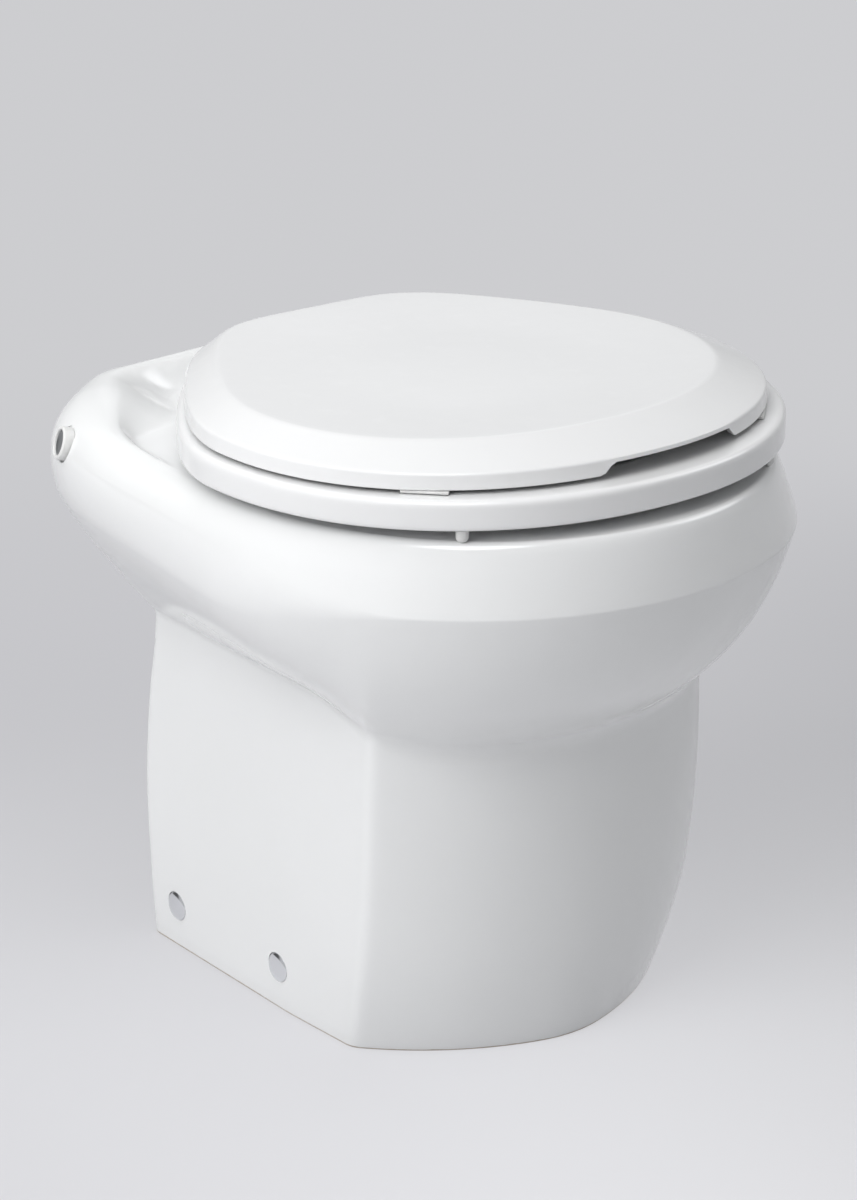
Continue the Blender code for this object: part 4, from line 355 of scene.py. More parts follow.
def squared(half_width: float, front: float, rear: float) -> Outline:
    """A round front and a rear that narrows to a nearly straight edge.

    Args:
        half_width: Half of the greatest width.
        front: The reach towards -Y.
        rear: The reach towards +Y.

    Returns:
        The outline.
    """
    spread = np.sin(np.linspace(0.0, QUARTER, SQUARED_STEPS))

    def across(power: float) -> np.ndarray:
        """The half width along the reach, for a power of the curve."""
        return half_width * (1.0 - spread**power) ** (1.0 / power)

    fore = np.column_stack((across(SQUARED_FRONT_POWER), -front * spread))[::-1]
    taper = 1.0 - SQUARED_TAPER * spread**2 / (1.0 + spread**2)
    aft = np.column_stack((across(SQUARED_REAR_POWER) * taper, rear * spread))
    return traced(np.concatenate((fore, aft[1:])), 0.0)


def inset(outline: Outline, depth: float) -> Outline:
    """The same outline, smaller by a depth measured square to it.

    Args:
        outline: The outline.
        depth: How far inside it the new one runs.

    Returns:
        The new outline.
    """

    def radius(angle: np.ndarray) -> np.ndarray:
        """The radius in each direction.

        Args:
            angle: The directions.

        Returns:
            The radii.
        """
        low = np.maximum(fold(angle) - SLOPE_STEP, 0.0)
        high = np.minimum(fold(angle) + SLOPE_STEP, math.pi)
        here = outline(angle)
        slope = (outline(high) - outline(low)) / (high - low) / here
        return here - depth * np.sqrt(1.0 + slope * slope)

    return radius


def mixed(first: Outline, second: Outline, share: float) -> Outline:
    """Between two outlines, by a share."""
    return lambda angle: blend(first(angle), second(angle), share)


def grown(outline: Outline, extra: float) -> Outline:
    """The same outline with a length added to its radius."""
    return lambda angle: outline(angle) + extra


def shrunk(outline: Outline, share: float) -> Outline:
    """The same outline at a share of its size."""
    return lambda angle: outline(angle) * share


def ring(
    outline: Outline,
    height: float | Height,
    angles: np.ndarray,
    centre_y: float = 0.0,
) -> np.ndarray:
    """One closed ring of points.

    Args:
        outline: The radius for each direction.
        height: One height, or a function of the direction.
        angles: The directions, going round once.
        centre_y: The centre's place on the middle line, from the casting's middle.

    Returns:
        The points in world axes, one row each.
    """
    radius = outline(angles)
    high = height(fold(angles)) if callable(height) else np.full(len(angles), height)
    y = MIDDLE_Y + centre_y - radius * np.cos(angles)
    return np.column_stack((radius * np.sin(angles), y, high))


def splined(keys: Sequence[np.ndarray], steps: int = 8) -> np.ndarray:
    """A smooth run through key rings, point by point.

    Args:
        keys: The rings that the run passes through.
        steps: The number of rows for each stretch between two rings.

    Returns:
        The rows, as an array of rows by points by axes.
    """
    keys = np.stack(keys)
    if len(keys) == 2:
        return blend(keys[0], keys[1], np.linspace(0.0, 1.0, steps + 1)[:, None, None])
    gaps = np.maximum(np.linalg.norm(np.diff(keys, axis=0), axis=2), MERGE)[:, :, None]
    slopes = np.diff(keys, axis=0) / gaps
    inner = (gaps[1:] * slopes[:-1] + gaps[:-1] * slopes[1:]) / (gaps[1:] + gaps[:-1])
    first = 2.0 * slopes[0] - inner[0]
    last = 2.0 * slopes[-1] - inner[-1]
    tangents = np.concatenate((first[None], inner, last[None]))
    rows = []
    for k in range(len(keys) - 1):
        for u in np.linspace(0.0, 1.0, steps, endpoint=False):
            out = u * (1.0 - u) ** 2
            back = u * u * (u - 1.0)
            bend = gaps[k] * (out * tangents[k] + back * tangents[k + 1])
            rows.append(blend(keys[k], keys[k + 1], swell(u)) + bend)
    rows.append(keys[-1])
    return np.stack(rows)


def resampled(run: np.ndarray, start: np.ndarray, end: np.ndarray, rows: int) -> np.ndarray:
    """The same run with even rows, trimmed at its ends.

    Args:
        run: Rows by points by axes.
        start: The length trimmed off the start, for each point of a ring.
        end: The length trimmed off the end, for each point of a ring.
        rows: How many stretches the new run has.

    Returns:
        The new rows.
    """
    steps = np.linalg.norm(np.diff(run, axis=0), axis=2)
    lengths = np.concatenate((np.zeros((1, steps.shape[1])), np.cumsum(steps, axis=0)))
    made = np.empty((rows + 1, run.shape[1], 3))
    for column in range(run.shape[1]):
        along = lengths[:, column]
        wanted = np.linspace(start[column], along[-1] - end[column], rows + 1)
        for axis in range(3):
            made[:, column, axis] = np.interp(wanted, along, run[:, column, axis])
    return made


@dataclass
class Stretch:
    """One smooth run of a section, and the rounding of the corner that ends it.

    The rounding is how far back along both runs the curve starts, as one length or
    as one for each point of a ring.
    """

    keys: Sequence[np.ndarray]
    rows: int
    rounding: float | np.ndarray = 0.0
    steps: int = 5


def section_rows(stretches: Sequence[Stretch], closed: bool) -> np.ndarray:
    """All rows of a section with its corners rounded.

    Args:
        stretches: The runs in order; each starts where the one before it ends.
        closed: Whether the last run ends where the first one starts.

    Returns:
        Rows by points by axes. A closed section's last row repeats its first.
    """
    runs = [splined(s.keys) for s in stretches]
    columns = runs[0].shape[1]
    lengths = [np.linalg.norm(np.diff(run, axis=0), axis=2).sum(axis=0) for run in runs]
    reaches = []
    for k, stretch in enumerate(stretches):
        after = lengths[(k + 1) % len(runs)]
        most = LONGEST_ROUNDING_SHARE * np.minimum(lengths[k], after)
        wanted = np.broadcast_to(np.asarray(stretch.rounding, float), (columns,))
        ends_open = not closed and k == len(runs) - 1
        reaches.append(np.zeros(columns) if ends_open else np.minimum(wanted, most))
    rows = []
    for k, run in enumerate(runs):
        start = reaches[k - 1] if k or closed else np.zeros(columns)
        even = resampled(run, start, reaches[k], stretches[k].rows)
        if k:
            rows.extend(corner_rows(rows[-1], run[0], even[0], stretches[k - 1].steps))
        rows.extend(even)
    if closed:
        rows.extend(corner_rows(rows[-1], runs[0][0], rows[0], stretches[-1].steps))
        rows.append(rows[0])
    return np.stack(rows)


def corner_rows(
    before: np.ndarray, corner: np.ndarray, after: np.ndarray, steps: int
) -> list[np.ndarray]:
    """The rows that round a corner.

    Args:
        before: The last row of the run before.
        corner: The row where the two runs would meet.
        after: The first row of the run after.
        steps: The number of steps round the corner.

    Returns:
        The rows between before and after, without them.
    """
    shares = np.linspace(0.0, 1.0, steps + 1)[1:-1]
    return [blend(blend(before, corner, u), blend(corner, after, u), u) for u in shares]


# Meshes


def placed(name: str, data: bpy.types.ID) -> bpy.types.Object:
    """Put an object into the scene.

    Args:
        name: The object's name.
        data: Its mesh, lamp or camera.

    Returns:
        The object, at the origin.
    """
    made = bpy.data.objects.new(name, data)
    bpy.context.scene.collection.objects.link(made)
    return made


def finished(name: str, bm: bmesh.types.BMesh) -> bpy.types.Object:
    """Make an object of a bmesh, closed, facing outwards and smooth up to an angle.

    Args:
        name: The object's name.
        bm: The mesh, which is used up.

    Returns:
        The object, at the origin.
    """
    bmesh.ops.remove_doubles(bm, verts=bm.verts, dist=MERGE)
    bmesh.ops.dissolve_degenerate(bm, edges=bm.edges, dist=MERGE)
    bmesh.ops.recalc_face_normals(bm, faces=bm.faces)
    piece = placed(name, bpy.data.meshes.new(name))
    bm.to_mesh(piece.data)
    bm.free()
    shade(piece, CREASE)
    return piece


def shade(piece: bpy.types.Object, crease: float) -> None:
    """Shade a piece smooth, with the edges above an angle in degrees sharp."""
    piece.data.shade_smooth()
    piece.data.set_sharp_from_angle(angle=math.radians(crease))


def woven(name: str, rows: np.ndarray) -> bpy.types.Object:
    """A skin through rows of points, closed round its rings.

    Args:
        name: The object's name.
        rows: Rows by points by axes; each row is one closed ring.

    Returns:
        The object.
    """
    high, wide = len(rows) - 1, rows.shape[1]
    bm = bmesh.new()
    bmesh.ops.create_grid(bm, x_segments=wide, y_segments=high, size=1.0)
    for vert in bm.verts:
        column = round((vert.co.x + 1.0) / 2.0 * wide) % wide
        row = round((vert.co.y + 1.0) / 2.0 * high)
        vert.co = rows[row, column]
    return finished(name, bm)


def turned(
    name: str,
    profile: Sequence[tuple[float, float]],
    at: Vector,
    axis: Vector,
    steps: int = 64,
) -> bpy.types.Object:
    """A body of revolution.

    Args:
        name: The object's name.
        profile: Radius and height pairs, open at the axis or closed round a bore.
        at: Where the profile's zero lies.
        axis: The direction of the profile's height.
        steps: The number of steps round.

    Returns:
        The object.
    """
    bm = bmesh.new()
    spun(bm, profile, at, axis, steps)
    return finished(name, bm)


def spun(
    bm: bmesh.types.BMesh,
    profile: Sequence[tuple[float, float]],
    at: Vector,
    axis: Vector,
    steps: int,
) -> None:
    """Add a body of revolution to a bmesh.

    Args:
        bm: The mesh to add to.
        profile: Radius and height pairs, open at the axis or closed round a bore.
        at: Where the profile's zero lies.
        axis: The direction of the profile's height.
        steps: The number of steps round.
    """
    known = set(bm.verts)
    verts = [bm.verts.new((r, 0.0, z)) for r, z in profile]
    edges = [bm.edges.new(pair) for pair in zip(verts, verts[1:])]
    if profile[0][0] > MERGE:
        edges.append(bm.edges.new((verts[-1], verts[0])))
    bmesh.ops.spin(
        bm,
        geom=verts + edges,
        cent=(0.0, 0.0, 0.0),
        axis=(0.0, 0.0, 1.0),
        angle=TURN,
        steps=steps,
        use_merge=True,
    )
    new = [vert for vert in bm.verts if vert not in known]
    bmesh.ops.transform(bm, matrix=Matrix.Translation(at) @ facing(axis), verts=new)


def facing(axis: Vector) -> Matrix:
    """The turn that points +Z along an axis."""
    return Vector(axis).to_track_quat("Z", "Y").to_matrix().to_4x4()


def softened(points: Sequence[Corner], steps: int = 5) -> list[tuple[float, float]]:
    """A profile with rounded corners, from radius, height and fillet triples."""
    return [(float(r), float(z)) for r, z in filleted(points, steps)]


def stepped(heights: Sequence[float], radii: Sequence[float]) -> list[tuple[float, float]]:
    """The profile of a stack of discs on one axis.

    Args:
        heights: Where the discs start and end, one more than there are radii.
        radii: Each disc's radius.

    Returns:
        Radius and height pairs, open at the axis.
    """
    made = [(0.0, heights[0])]
    for low, high, radius in zip(heights, heights[1:], radii):
        made += [(radius, low), (radius, high)]
    return [*made, (0.0, heights[-1])]


def bevelled(
    bm: bmesh.types.BMesh, edges: Sequence[bmesh.types.BMEdge], width: float, segments: int
) -> list[bmesh.types.BMVert]:
    """Round some edges of a bmesh.

    Args:
        bm: The mesh.
        edges: The edges to round.
        width: How far from each edge the rounding starts.
        segments: The steps of the rounding.

    Returns:
        The new vertices.
    """
    made = bmesh.ops.bevel(
        bm,
        geom=edges,
        offset=width,
        offset_type="OFFSET",
        affect="EDGES",
        segments=segments,
        profile=0.5,
        material=-1,
    )
    return made["verts"]


def block(
    bm: bmesh.types.BMesh, low: Vector, high: Vector, soft: float = 0.0, segments: int = 3
) -> list[bmesh.types.BMVert]:
    """Add a box with softened edges to a bmesh.

    Args:
        bm: The mesh to add to.
        low: The lowest corner.
        high: The highest corner.
        soft: The width of the softening, or zero.
        segments: The steps of the softening.

    Returns:
        The box's vertices.
    """
    size = Vector(high) - Vector(low)
    place = Matrix.Translation((Vector(low) + Vector(high)) / 2.0)
    matrix = place @ Matrix.Diagonal((*size, 1.0))
    verts = bmesh.ops.create_cube(bm, size=1.0, matrix=matrix)["verts"]
    if soft:
        edges = list({edge for vert in verts for edge in vert.link_edges})
        new = bevelled(bm, edges, soft, segments)
        verts = list({vert for vert in verts if vert.is_valid} | set(new))
    return verts


def rod(
    bm: bmesh.types.BMesh,
    radius: float,
    start: Vector,
    axis: Vector,
    length: float,
    soft: float = 0.0,
    segments: int = 40,
) -> None:
    """Add a round rod to a bmesh.

    Args:
        bm: The mesh to add to.
        radius: The rod's radius.
        start: The middle of its first end.
        axis: Its direction.
        length: Its length.
        soft: The fillet at its ends, or zero.
        segments: The number of sides.
    """
    profile = [(0.0, 0.0), (radius, 0.0), (radius, length), (0.0, length)]
    if soft:
        fillets = (0.0, soft, soft, 0.0)
        profile = softened([(*point, fillet) for point, fillet in zip(profile, fillets)])
    spun(bm, profile, start, axis, segments)


def cut(piece: bpy.types.Object, tool: bpy.types.Object, operation: str) -> None:
    """Join a tool to a piece or take it away, and remove the tool.

    Args:
        piece: The piece that is changed.
        tool: The closed body or bodies to use.
        operation: DIFFERENCE or UNION.
    """
    modifier = piece.modifiers.new("cut", "BOOLEAN")
    modifier.object = tool
    modifier.operation = operation
    modifier.solver = "EXACT"
    graph = bpy.context.evaluated_depsgraph_get()
    mesh = bpy.data.meshes.new_from_object(piece.evaluated_get(graph))
    piece.modifiers.clear()
    piece.data = mesh
    bpy.data.objects.remove(tool)
    bm = bmesh.new()
    bm.from_mesh(mesh)
    bmesh.ops.dissolve_degenerate(bm, edges=bm.edges, dist=MERGE * 10.0)
    bm.to_mesh(mesh)
    bm.free()


def joined(
    piece: bpy.types.Object,
    parts: dict[str, bmesh.types.BMesh],
    holes: dict[str, bmesh.types.BMesh],
) -> None:
    """Join parts to a piece, cut holes into it and shade it.

    Args:
        piece: The piece that is changed.
        parts: The meshes to join, by name; they are used up.
        holes: The meshes to take away, by name; they are used up.
    """
    for operation, tools in (("UNION", parts), ("DIFFERENCE", holes)):
        for name, bm in tools.items():
            cut(piece, finished(name, bm), operation)
    shade(piece, CREASE)


# Shader maths


def operator(operation: str, reflected: bool = False) -> Callable[["Value", object], "Value"]:
    """An arithmetic method of Value.

    Args:
        operation: The Math node's operation.
        reflected: Whether the value stands on the right of the sign.

    Returns:
        The method.
    """

    def method(self: "Value", other: object) -> "Value":
        """The result of the operation."""
        pair = (other, self) if reflected else (self, other)
        return self.graph.maths(operation, *pair)

    return method


@dataclass(frozen=True)
class Value:
    """A shader socket that arithmetic can be done on."""

    graph: "Graph"
    socket: bpy.types.NodeSocket

    __add__ = __radd__ = operator("ADD")
    __sub__ = operator("SUBTRACT")
    __rsub__ = operator("SUBTRACT", reflected=True)
    __mul__ = __rmul__ = operator("MULTIPLY")
    __truediv__ = operator("DIVIDE")
    __pow__ = operator("POWER")

    def between(self, low: float, high: float) -> "Value":
        """An eased step.

        Args:
            low: Where the step is 0; it may be the greater.
            high: Where it is 1.

        Returns:
            The step's height.
        """
        settings = {"interpolation_type": "SMOOTHSTEP"}
        values = {"Value": self, "From Min": low, "From Max": high}
        return Value(self.graph, self.graph.node("MapRange", settings, values).outputs[0])


@dataclass(frozen=True)
class Noise:
    """A noise pattern: how many blobs there are to a metre, and its finer layers."""

    scale: float
    detail: float = 2.0


def shaded(colour: Colour, share: float) -> Colour:
    """A colour made darker or lighter by a share."""
    return tuple(min(part * share, 1.0) for part in colour)


class Graph:
    """The nodes of a material or a world, written as expressions."""

    def __init__(self, name: str, world: bool = False) -> None:
        """Start a material or a world with no nodes.

        Args:
            name: Its name.
            world: Whether it is a world.
        """
        self.material = (bpy.data.worlds if world else bpy.data.materials).new(name)
        self.material.use_nodes = True
        self.tree = self.material.node_tree
        self.tree.nodes.clear()

    def node(
        self,
        kind: str,
        settings: dict[str, object] | None = None,
        inputs: dict[object, object] | None = None,
    ) -> bpy.types.Node:
        """Add a node.

        Args:
            kind: The shader node's type, without its common prefix.
            settings: What is set on the node first.
            inputs: Values or links of its sockets, by name or number.

        Returns:
            The node.
        """
        node = self.tree.nodes.new(f"ShaderNode{kind}")
        for key, value in (settings or {}).items():
            setattr(node, key, value)
        for key, value in (inputs or {}).items():
            socket = node.inputs[key]
            if isinstance(value, Value):
                self.tree.links.new(value.socket, socket)
            elif isinstance(value, bpy.types.NodeSocket):
                self.tree.links.new(value, socket)
            elif isinstance(value, tuple) and len(value) == 3 and socket.type == "RGBA":
                socket.default_value = (*value, 1.0)
            else:
                socket.default_value = value
        return node

    def maths(self, operation: str, *values: object) -> Value:
        """One Math node of an operation on some values."""
        node = self.node("Math", {"operation": operation}, dict(enumerate(values)))
        return Value(self, node.outputs[0])

    def place(self, centre: Vector | None = None, turn: Vector | None = None) -> Value:
        """The point on the piece in metres.

        Args:
            centre: Where the pattern's zero lies, or None for the world's.
            turn: The pattern's turn as Euler angles, or None.

        Returns:
            The point, measured from the centre and turned back.
        """
        point = self.node("TexCoord").outputs["Object"]
        if centre is None:
            return Value(self, point)
        inputs = {"Vector": point, "Location": tuple(centre)}
        if turn:
            inputs["Rotation"] = tuple(turn)
        node = self.node("Mapping", {"vector_type": "TEXTURE"}, inputs)
        return Value(self, node.outputs[0])

    def ray(self, kind: str) -> Value:
        """1 for rays of a kind (Camera, Glossy or Transmission), else 0."""
        return Value(self, self.node("LightPath").outputs[f"Is {kind} Ray"])

    def seen(self) -> Value:
        """1 for what the camera sees, straight or by gloss or glass, and 0 for light."""
        indirect = self.maths("MAXIMUM", self.ray("Glossy"), self.ray("Transmission"))
        return self.maths("MAXIMUM", self.ray("Camera"), indirect)

    def parts(self, point: Value) -> tuple[Value, Value, Value]:
        """The three parts of a point."""
        node = self.node("SeparateXYZ", None, {0: point})
        return tuple(Value(self, out) for out in node.outputs)

    def noise(self, pattern: Noise, point: Value | None = None) -> Value:
        """Noise from 0 to 1.

        Args:
            pattern: The pattern.
            point: Where it is read, or None for the point on the piece.

        Returns:
            The noise.
        """
        inputs = {"Vector": point or self.place()}
        inputs |= {"Scale": pattern.scale, "Detail": pattern.detail}
        return Value(self, self.node("TexNoise", None, inputs).outputs[0])

    def mix(self, share: Value, first: object, second: object) -> Value:
        """A colour between two, by a share."""
        inputs = dict(zip(MIX_INPUTS, (share, first, second)))
        return Value(self, self.node("Mix", {"data_type": "RGBA"}, inputs).outputs[MIX_OUTPUT])

    def shades(self, share: Value, colour: Colour, shades: Span) -> Value:
        """A colour between two shades of it, by a share."""
        return self.mix(share, *(shaded(colour, shade) for shade in shades))

    def bump(self, height: Value, depth: float) -> Value:
        """A surface relief from a height of 0 to 1 and its depth in metres."""
        inputs = {"Height": height, "Distance": depth, "Strength": 1.0}
        return Value(self, self.node("Bump", None, inputs).outputs[0])

    def relief(self, waves: Noise, peel: Noise, share: float, depth: float) -> Value:
        """A surface relief of long waves with a fine peel on them.

        Args:
            waves: The pattern of the waves.
            peel: The pattern of the peel.
            share: The peel's height, as a share of the waves'.
            depth: The depth in metres.

        Returns:
            The relief, for a surface's normal.
        """
        return self.bump(self.noise(waves) + self.noise(peel) * share, depth)

    def surface(self, inputs: dict[object, object]) -> bpy.types.Material:
        """End the material with one Principled surface.

        Args:
            inputs: Values or links of the surface's sockets.

        Returns:
            The material.
        """
        shader = self.node("BsdfPrincipled", None, inputs)
        self.node("OutputMaterial", None, {"Surface": shader.outputs[0]})
        return self.material


# Kinds of finish


@dataclass(frozen=True)
class Finish(ABC):
    """A material of the record: its slot and its colour."""

    slot: str
    colour: Colour

    @abstractmethod
    def look(self, graph: Graph) -> dict[str, object]:
        """What the sockets of the Principled surface take.

        Args:
            graph: The material's nodes.

        Returns:
            Values and links by socket.
        """

    def material(self) -> bpy.types.Material:
        """The finish as a material of its own."""
        graph = Graph(self.slot)
        return graph.surface(self.look(graph))


@dataclass(frozen=True)
class GlazedChina(Finish):
    """White glaze over china, with a darker, rougher band round the bottom of its foot."""

    slot: str = "china"
    colour: Colour = (0.855, 0.862, 0.862)
    roughness: float = 0.10
    roughness_noise: Noise = Noise(40.0)
    roughness_spread: float = 0.05
    refraction: float = 1.52
    coat: float = 0.45
    coat_roughness: float = 0.03
    cloud: Noise = Noise(9.0, 3.0)
    cloud_shades: Span = (0.975, 1.015)
    specks: Noise = Noise(900.0)
    speck_edge: Span = (0.80, 0.86)
    speck_share: float = 0.25
    speck_shade: float = 0.80
    # The colour of the darker band round the bottom of the foot
    foot: Colour = (0.36, 0.30, 0.24)
    foot_grain: Noise = Noise(2200.0)
    foot_shades: Span = (1.0, 1.5)
    foot_roughness: float = 0.6
    foot_height: float = 0.0014
    foot_edge: Noise = Noise(160.0)
    foot_wander: float = 0.0008
    foot_fade: float = 0.0006
    waves: Noise = Noise(26.0)
    peel: Noise = Noise(170.0, 1.0)
    peel_share: float = 0.05
    ripple: float = 0.00010

    def look(self, graph: Graph) -> dict[str, object]:
        """The glaze and the darker band round the foot.

        Args:
            graph: The material's nodes.

        Returns:
            Values and links by socket.
        """
        _, _, height = graph.parts(graph.place())
        body = graph.shades(graph.noise(self.cloud), self.colour, self.cloud_shades)
        specks = graph.noise(self.specks).between(*self.speck_edge)
        body = graph.mix(specks * self.speck_share, body, shaded(self.colour, self.speck_shade))
        # A darker, rougher band without coat runs round the bottom of the foot
        edge = height + graph.noise(self.foot_edge) * self.foot_wander
        foot_band = 1.0 - edge.between(self.foot_height, self.foot_height + self.foot_fade)
        foot_tone = graph.shades(graph.noise(self.foot_grain), self.foot, self.foot_shades)
        dull = graph.noise(self.roughness_noise) * self.roughness_spread
        return {
            "Base Color": graph.mix(foot_band, body, foot_tone),
            "Roughness": self.roughness + dull + foot_band * self.foot_roughness,
            "IOR": self.refraction,
            "Coat Weight": self.coat - foot_band * self.coat,
            "Coat Roughness": self.coat_roughness,
            "Normal": graph.relief(self.waves, self.peel, self.peel_share, self.ripple),
        }


@dataclass(frozen=True)
class MouldedPlastic(Finish):
    """Pressed or moulded plastic with a faint flow in its gloss."""

    roughness: float
    coat: float
    coat_spread: float = 0.05
    coat_roughness: float = 0.06
    cloud: Noise = Noise(14.0)
    cloud_shades: Span = (0.98, 1.015)
    wear: Noise = Noise(70.0, 4.0)
    wear_edge: Span = (0.55, 0.80)
    wear_roughness: float = 0.06
    waves: Noise = Noise(60.0)
    peel: Noise = Noise(1400.0, 1.0)
    peel_share: float = 0.10
    ripple: float = 0.00008

    def look(self, graph: Graph) -> dict[str, object]:
        """The plastic.

        Args:
            graph: The material's nodes.

        Returns:
            Values and links by socket.
        """
        cloud = graph.noise(self.cloud)
        wear = graph.noise(self.wear).between(*self.wear_edge)
        return {
            "Base Color": graph.shades(cloud, self.colour, self.cloud_shades),
            "Roughness": self.roughness + wear * self.wear_roughness,
            "Coat Weight": self.coat + cloud * self.coat_spread,
            "Coat Roughness": self.coat_roughness,
            "Normal": graph.relief(self.waves, self.peel, self.peel_share, self.ripple),
        }


@dataclass(frozen=True)
class Rubber(Finish):
    """Matt rubber with a fine bloom."""

    roughness: float = 0.62
    bloom: Noise = Noise(120.0, 4.0)
    bloom_edge: Span = (0.45, 0.75)
    bloom_share: float = 0.4
    bloom_shades: Span = (1.0, 1.5)
    bloom_roughness: float = 0.15
    pores: Noise = Noise(2600.0)
    depth: float = 0.00006

    def look(self, graph: Graph) -> dict[str, object]:
        """The rubber.

        Args:
            graph: The material's nodes.

        Returns:
            Values and links by socket.
        """
        bloom = graph.noise(self.bloom).between(*self.bloom_edge)
        share = bloom * self.bloom_share
        return {
            "Base Color": graph.shades(share, self.colour, self.bloom_shades),
            "Roughness": self.roughness + bloom * self.bloom_roughness,
            "Normal": graph.bump(graph.noise(self.pores), self.depth),
        }


@dataclass(frozen=True)
class PlainMetal(Finish):
    """Polished, plated or rolled metal with a grain along one axis."""

    roughness: float
    grain: Colour = (300.0, 300.0, 300.0)
    depth: float = 0.00001
    lines: Noise = Noise(1.0, 3.0)
    lines_roughness: float = 0.03
    haze: Noise = Noise(55.0, 4.0)
    haze_edge: Span = (0.50, 0.80)
    haze_share: float = 0.5
    haze_shades: Span = (1.0, 0.86)
    haze_roughness: float = 0.07

    def look(self, graph: Graph) -> dict[str, object]:
        """The metal.

        Args:
            graph: The material's nodes.

        Returns:
            Values and links by socket.
        """
        stretched = graph.node("Mapping", None, {"Vector": graph.place(), "Scale": self.grain})
        lines = graph.noise(self.lines, Value(graph, stretched.outputs[0]))
        haze = graph.noise(self.haze).between(*self.haze_edge)
        dull = haze * self.haze_roughness + lines * self.lines_roughness
        return {
            "Base Color": graph.shades(haze * self.haze_share, self.colour, self.haze_shades),
            "Metallic": 1.0,
            "Roughness": self.roughness + dull,
            "Normal": graph.bump(lines, self.depth),
        }


@dataclass(frozen=True)
class SpunMetal(Finish):
    """A metal face with the fine rings of a lathe round its axis."""

    centre: Vector
    axis: Vector
    roughness: float = 0.26
    pitch: float = 0.00022
    wobble: Noise = Noise(900.0)
    wobble_turn: float = 2.0
    wobble_roughness: float = 0.05
    ring_shades: Span = (0.80, 1.0)
    ring_roughness: float = 0.10
    depth: float = 0.000012

    def look(self, graph: Graph) -> dict[str, object]:
        """The metal and its rings.

        Args:
            graph: The material's nodes.

        Returns:
            Values and links by socket.
        """
        turn = self.axis.to_track_quat("Z", "Y").to_euler()
        x, y, _ = graph.parts(graph.place(self.centre, Vector(turn)))
        reach = (x * x + y * y) ** 0.5
        wobble = graph.noise(self.wobble)
        wave = graph.maths("SINE", reach / self.pitch * TURN + wobble * self.wobble_turn)
        rings = wave * 0.5 + 0.5
        dull = rings * self.ring_roughness + wobble * self.wobble_roughness
        return {
            "Base Color": graph.shades(rings, self.colour, self.ring_shades),
            "Metallic": 1.0,
            "Roughness": self.roughness + dull,
            "Normal": graph.bump(rings, self.depth),
        }


@dataclass(frozen=True)
class PaintedMetal(Finish):
    """Sprayed enamel over a pressed can, with an orange-peel skin."""

    roughness: float = 0.36
    coat: float = 0.2
    coat_spread: float = 0.05
    peel: Noise = Noise(750.0)
    peel_roughness: float = 0.08
    wear: Noise = Noise(160.0, 5.0)
    wear_edge: Span = (0.66, 0.80)
    wear_share: float = 0.35
    wear_shades: Span = (1.0, 2.2)
    wear_roughness: float = 0.1
    depth: float = 0.00006

    def look(self, graph: Graph) -> dict[str, object]:
        """The paint.

        Args:
            graph: The material's nodes.

        Returns:
            Values and links by socket.
        """
        peel = graph.noise(self.peel)
        worn = graph.noise(self.wear).between(*self.wear_edge)
        dull = peel * self.peel_roughness + worn * self.wear_roughness
        return {
            "Base Color": graph.shades(worn * self.wear_share, self.colour, self.wear_shades),
            "Roughness": self.roughness + dull,
            "Coat Weight": self.coat + peel * self.coat_spread,
            "Normal": graph.bump(peel, self.depth),
        }


# Sub-assemblies


def on_edge(outline: Outline, degrees: float, depth: float, side: Side) -> Vector:
    """A place near an outline's edge.

    Args:
        outline: The outline.
        degrees: The direction from the front.
        depth: How far inside the edge it lies.
        side: The side of the object.

    Returns:
        The place, at height zero.
    """
    angle = math.radians(degrees)
    reach = float(outline(np.array([angle]))[0]) - depth
    x = side.value * reach * math.sin(angle)
    return Vector((x, MIDDLE_Y - reach * math.cos(angle), 0.0))


def dress(piece: bpy.types.Object, body: str, slot: str, *nodes: str) -> bpy.types.Object:
    """Give a new piece its body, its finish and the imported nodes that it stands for.

    Args:
        piece: The new piece.
        body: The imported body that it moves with.
        slot: The material slot that it takes its finish from.
        nodes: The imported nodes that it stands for.

    Returns:
        The piece.
    """
    piece.data.materials.clear()
    piece.data.materials.append(bpy.data.materials[slot])
    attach(piece, body)
    if nodes:
        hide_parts(*nodes)
    LOG.info("%s: %d faces on body %s", piece.name, len(piece.data.polygons), body)
    return piece


# Directions round the casting in degrees from the front, closest at its corners
FRONT_ANGLES = (0, 11, 22, 32, 41, 48, 52.5, 55.5, 58.5, 66, 77, 89)
REAR_ANGLES = (101, 112, 121, 129, 136, 138.5, 141.5, 146, 150, 154.5, 162, 171, 180)
HALF_ANGLES = FRONT_ANGLES + REAR_ANGLES
FRONT_CORNER = 55.5
REAR_CORNER = 138.5


def fine_angles(steps: int) -> np.ndarray:
    """The directions of a whole ring in radians.

    Args:
        steps: How many steps each listed stretch is divided into.

    Returns:
        The directions, going round once.
    """
    spots = np.arange((len(HALF_ANGLES) - 1) * steps + 1) / steps
    half = np.radians(np.interp(spots, np.arange(len(HALF_ANGLES)), HALF_ANGLES))
    return np.concatenate((half, TURN - half[-2:0:-1]))


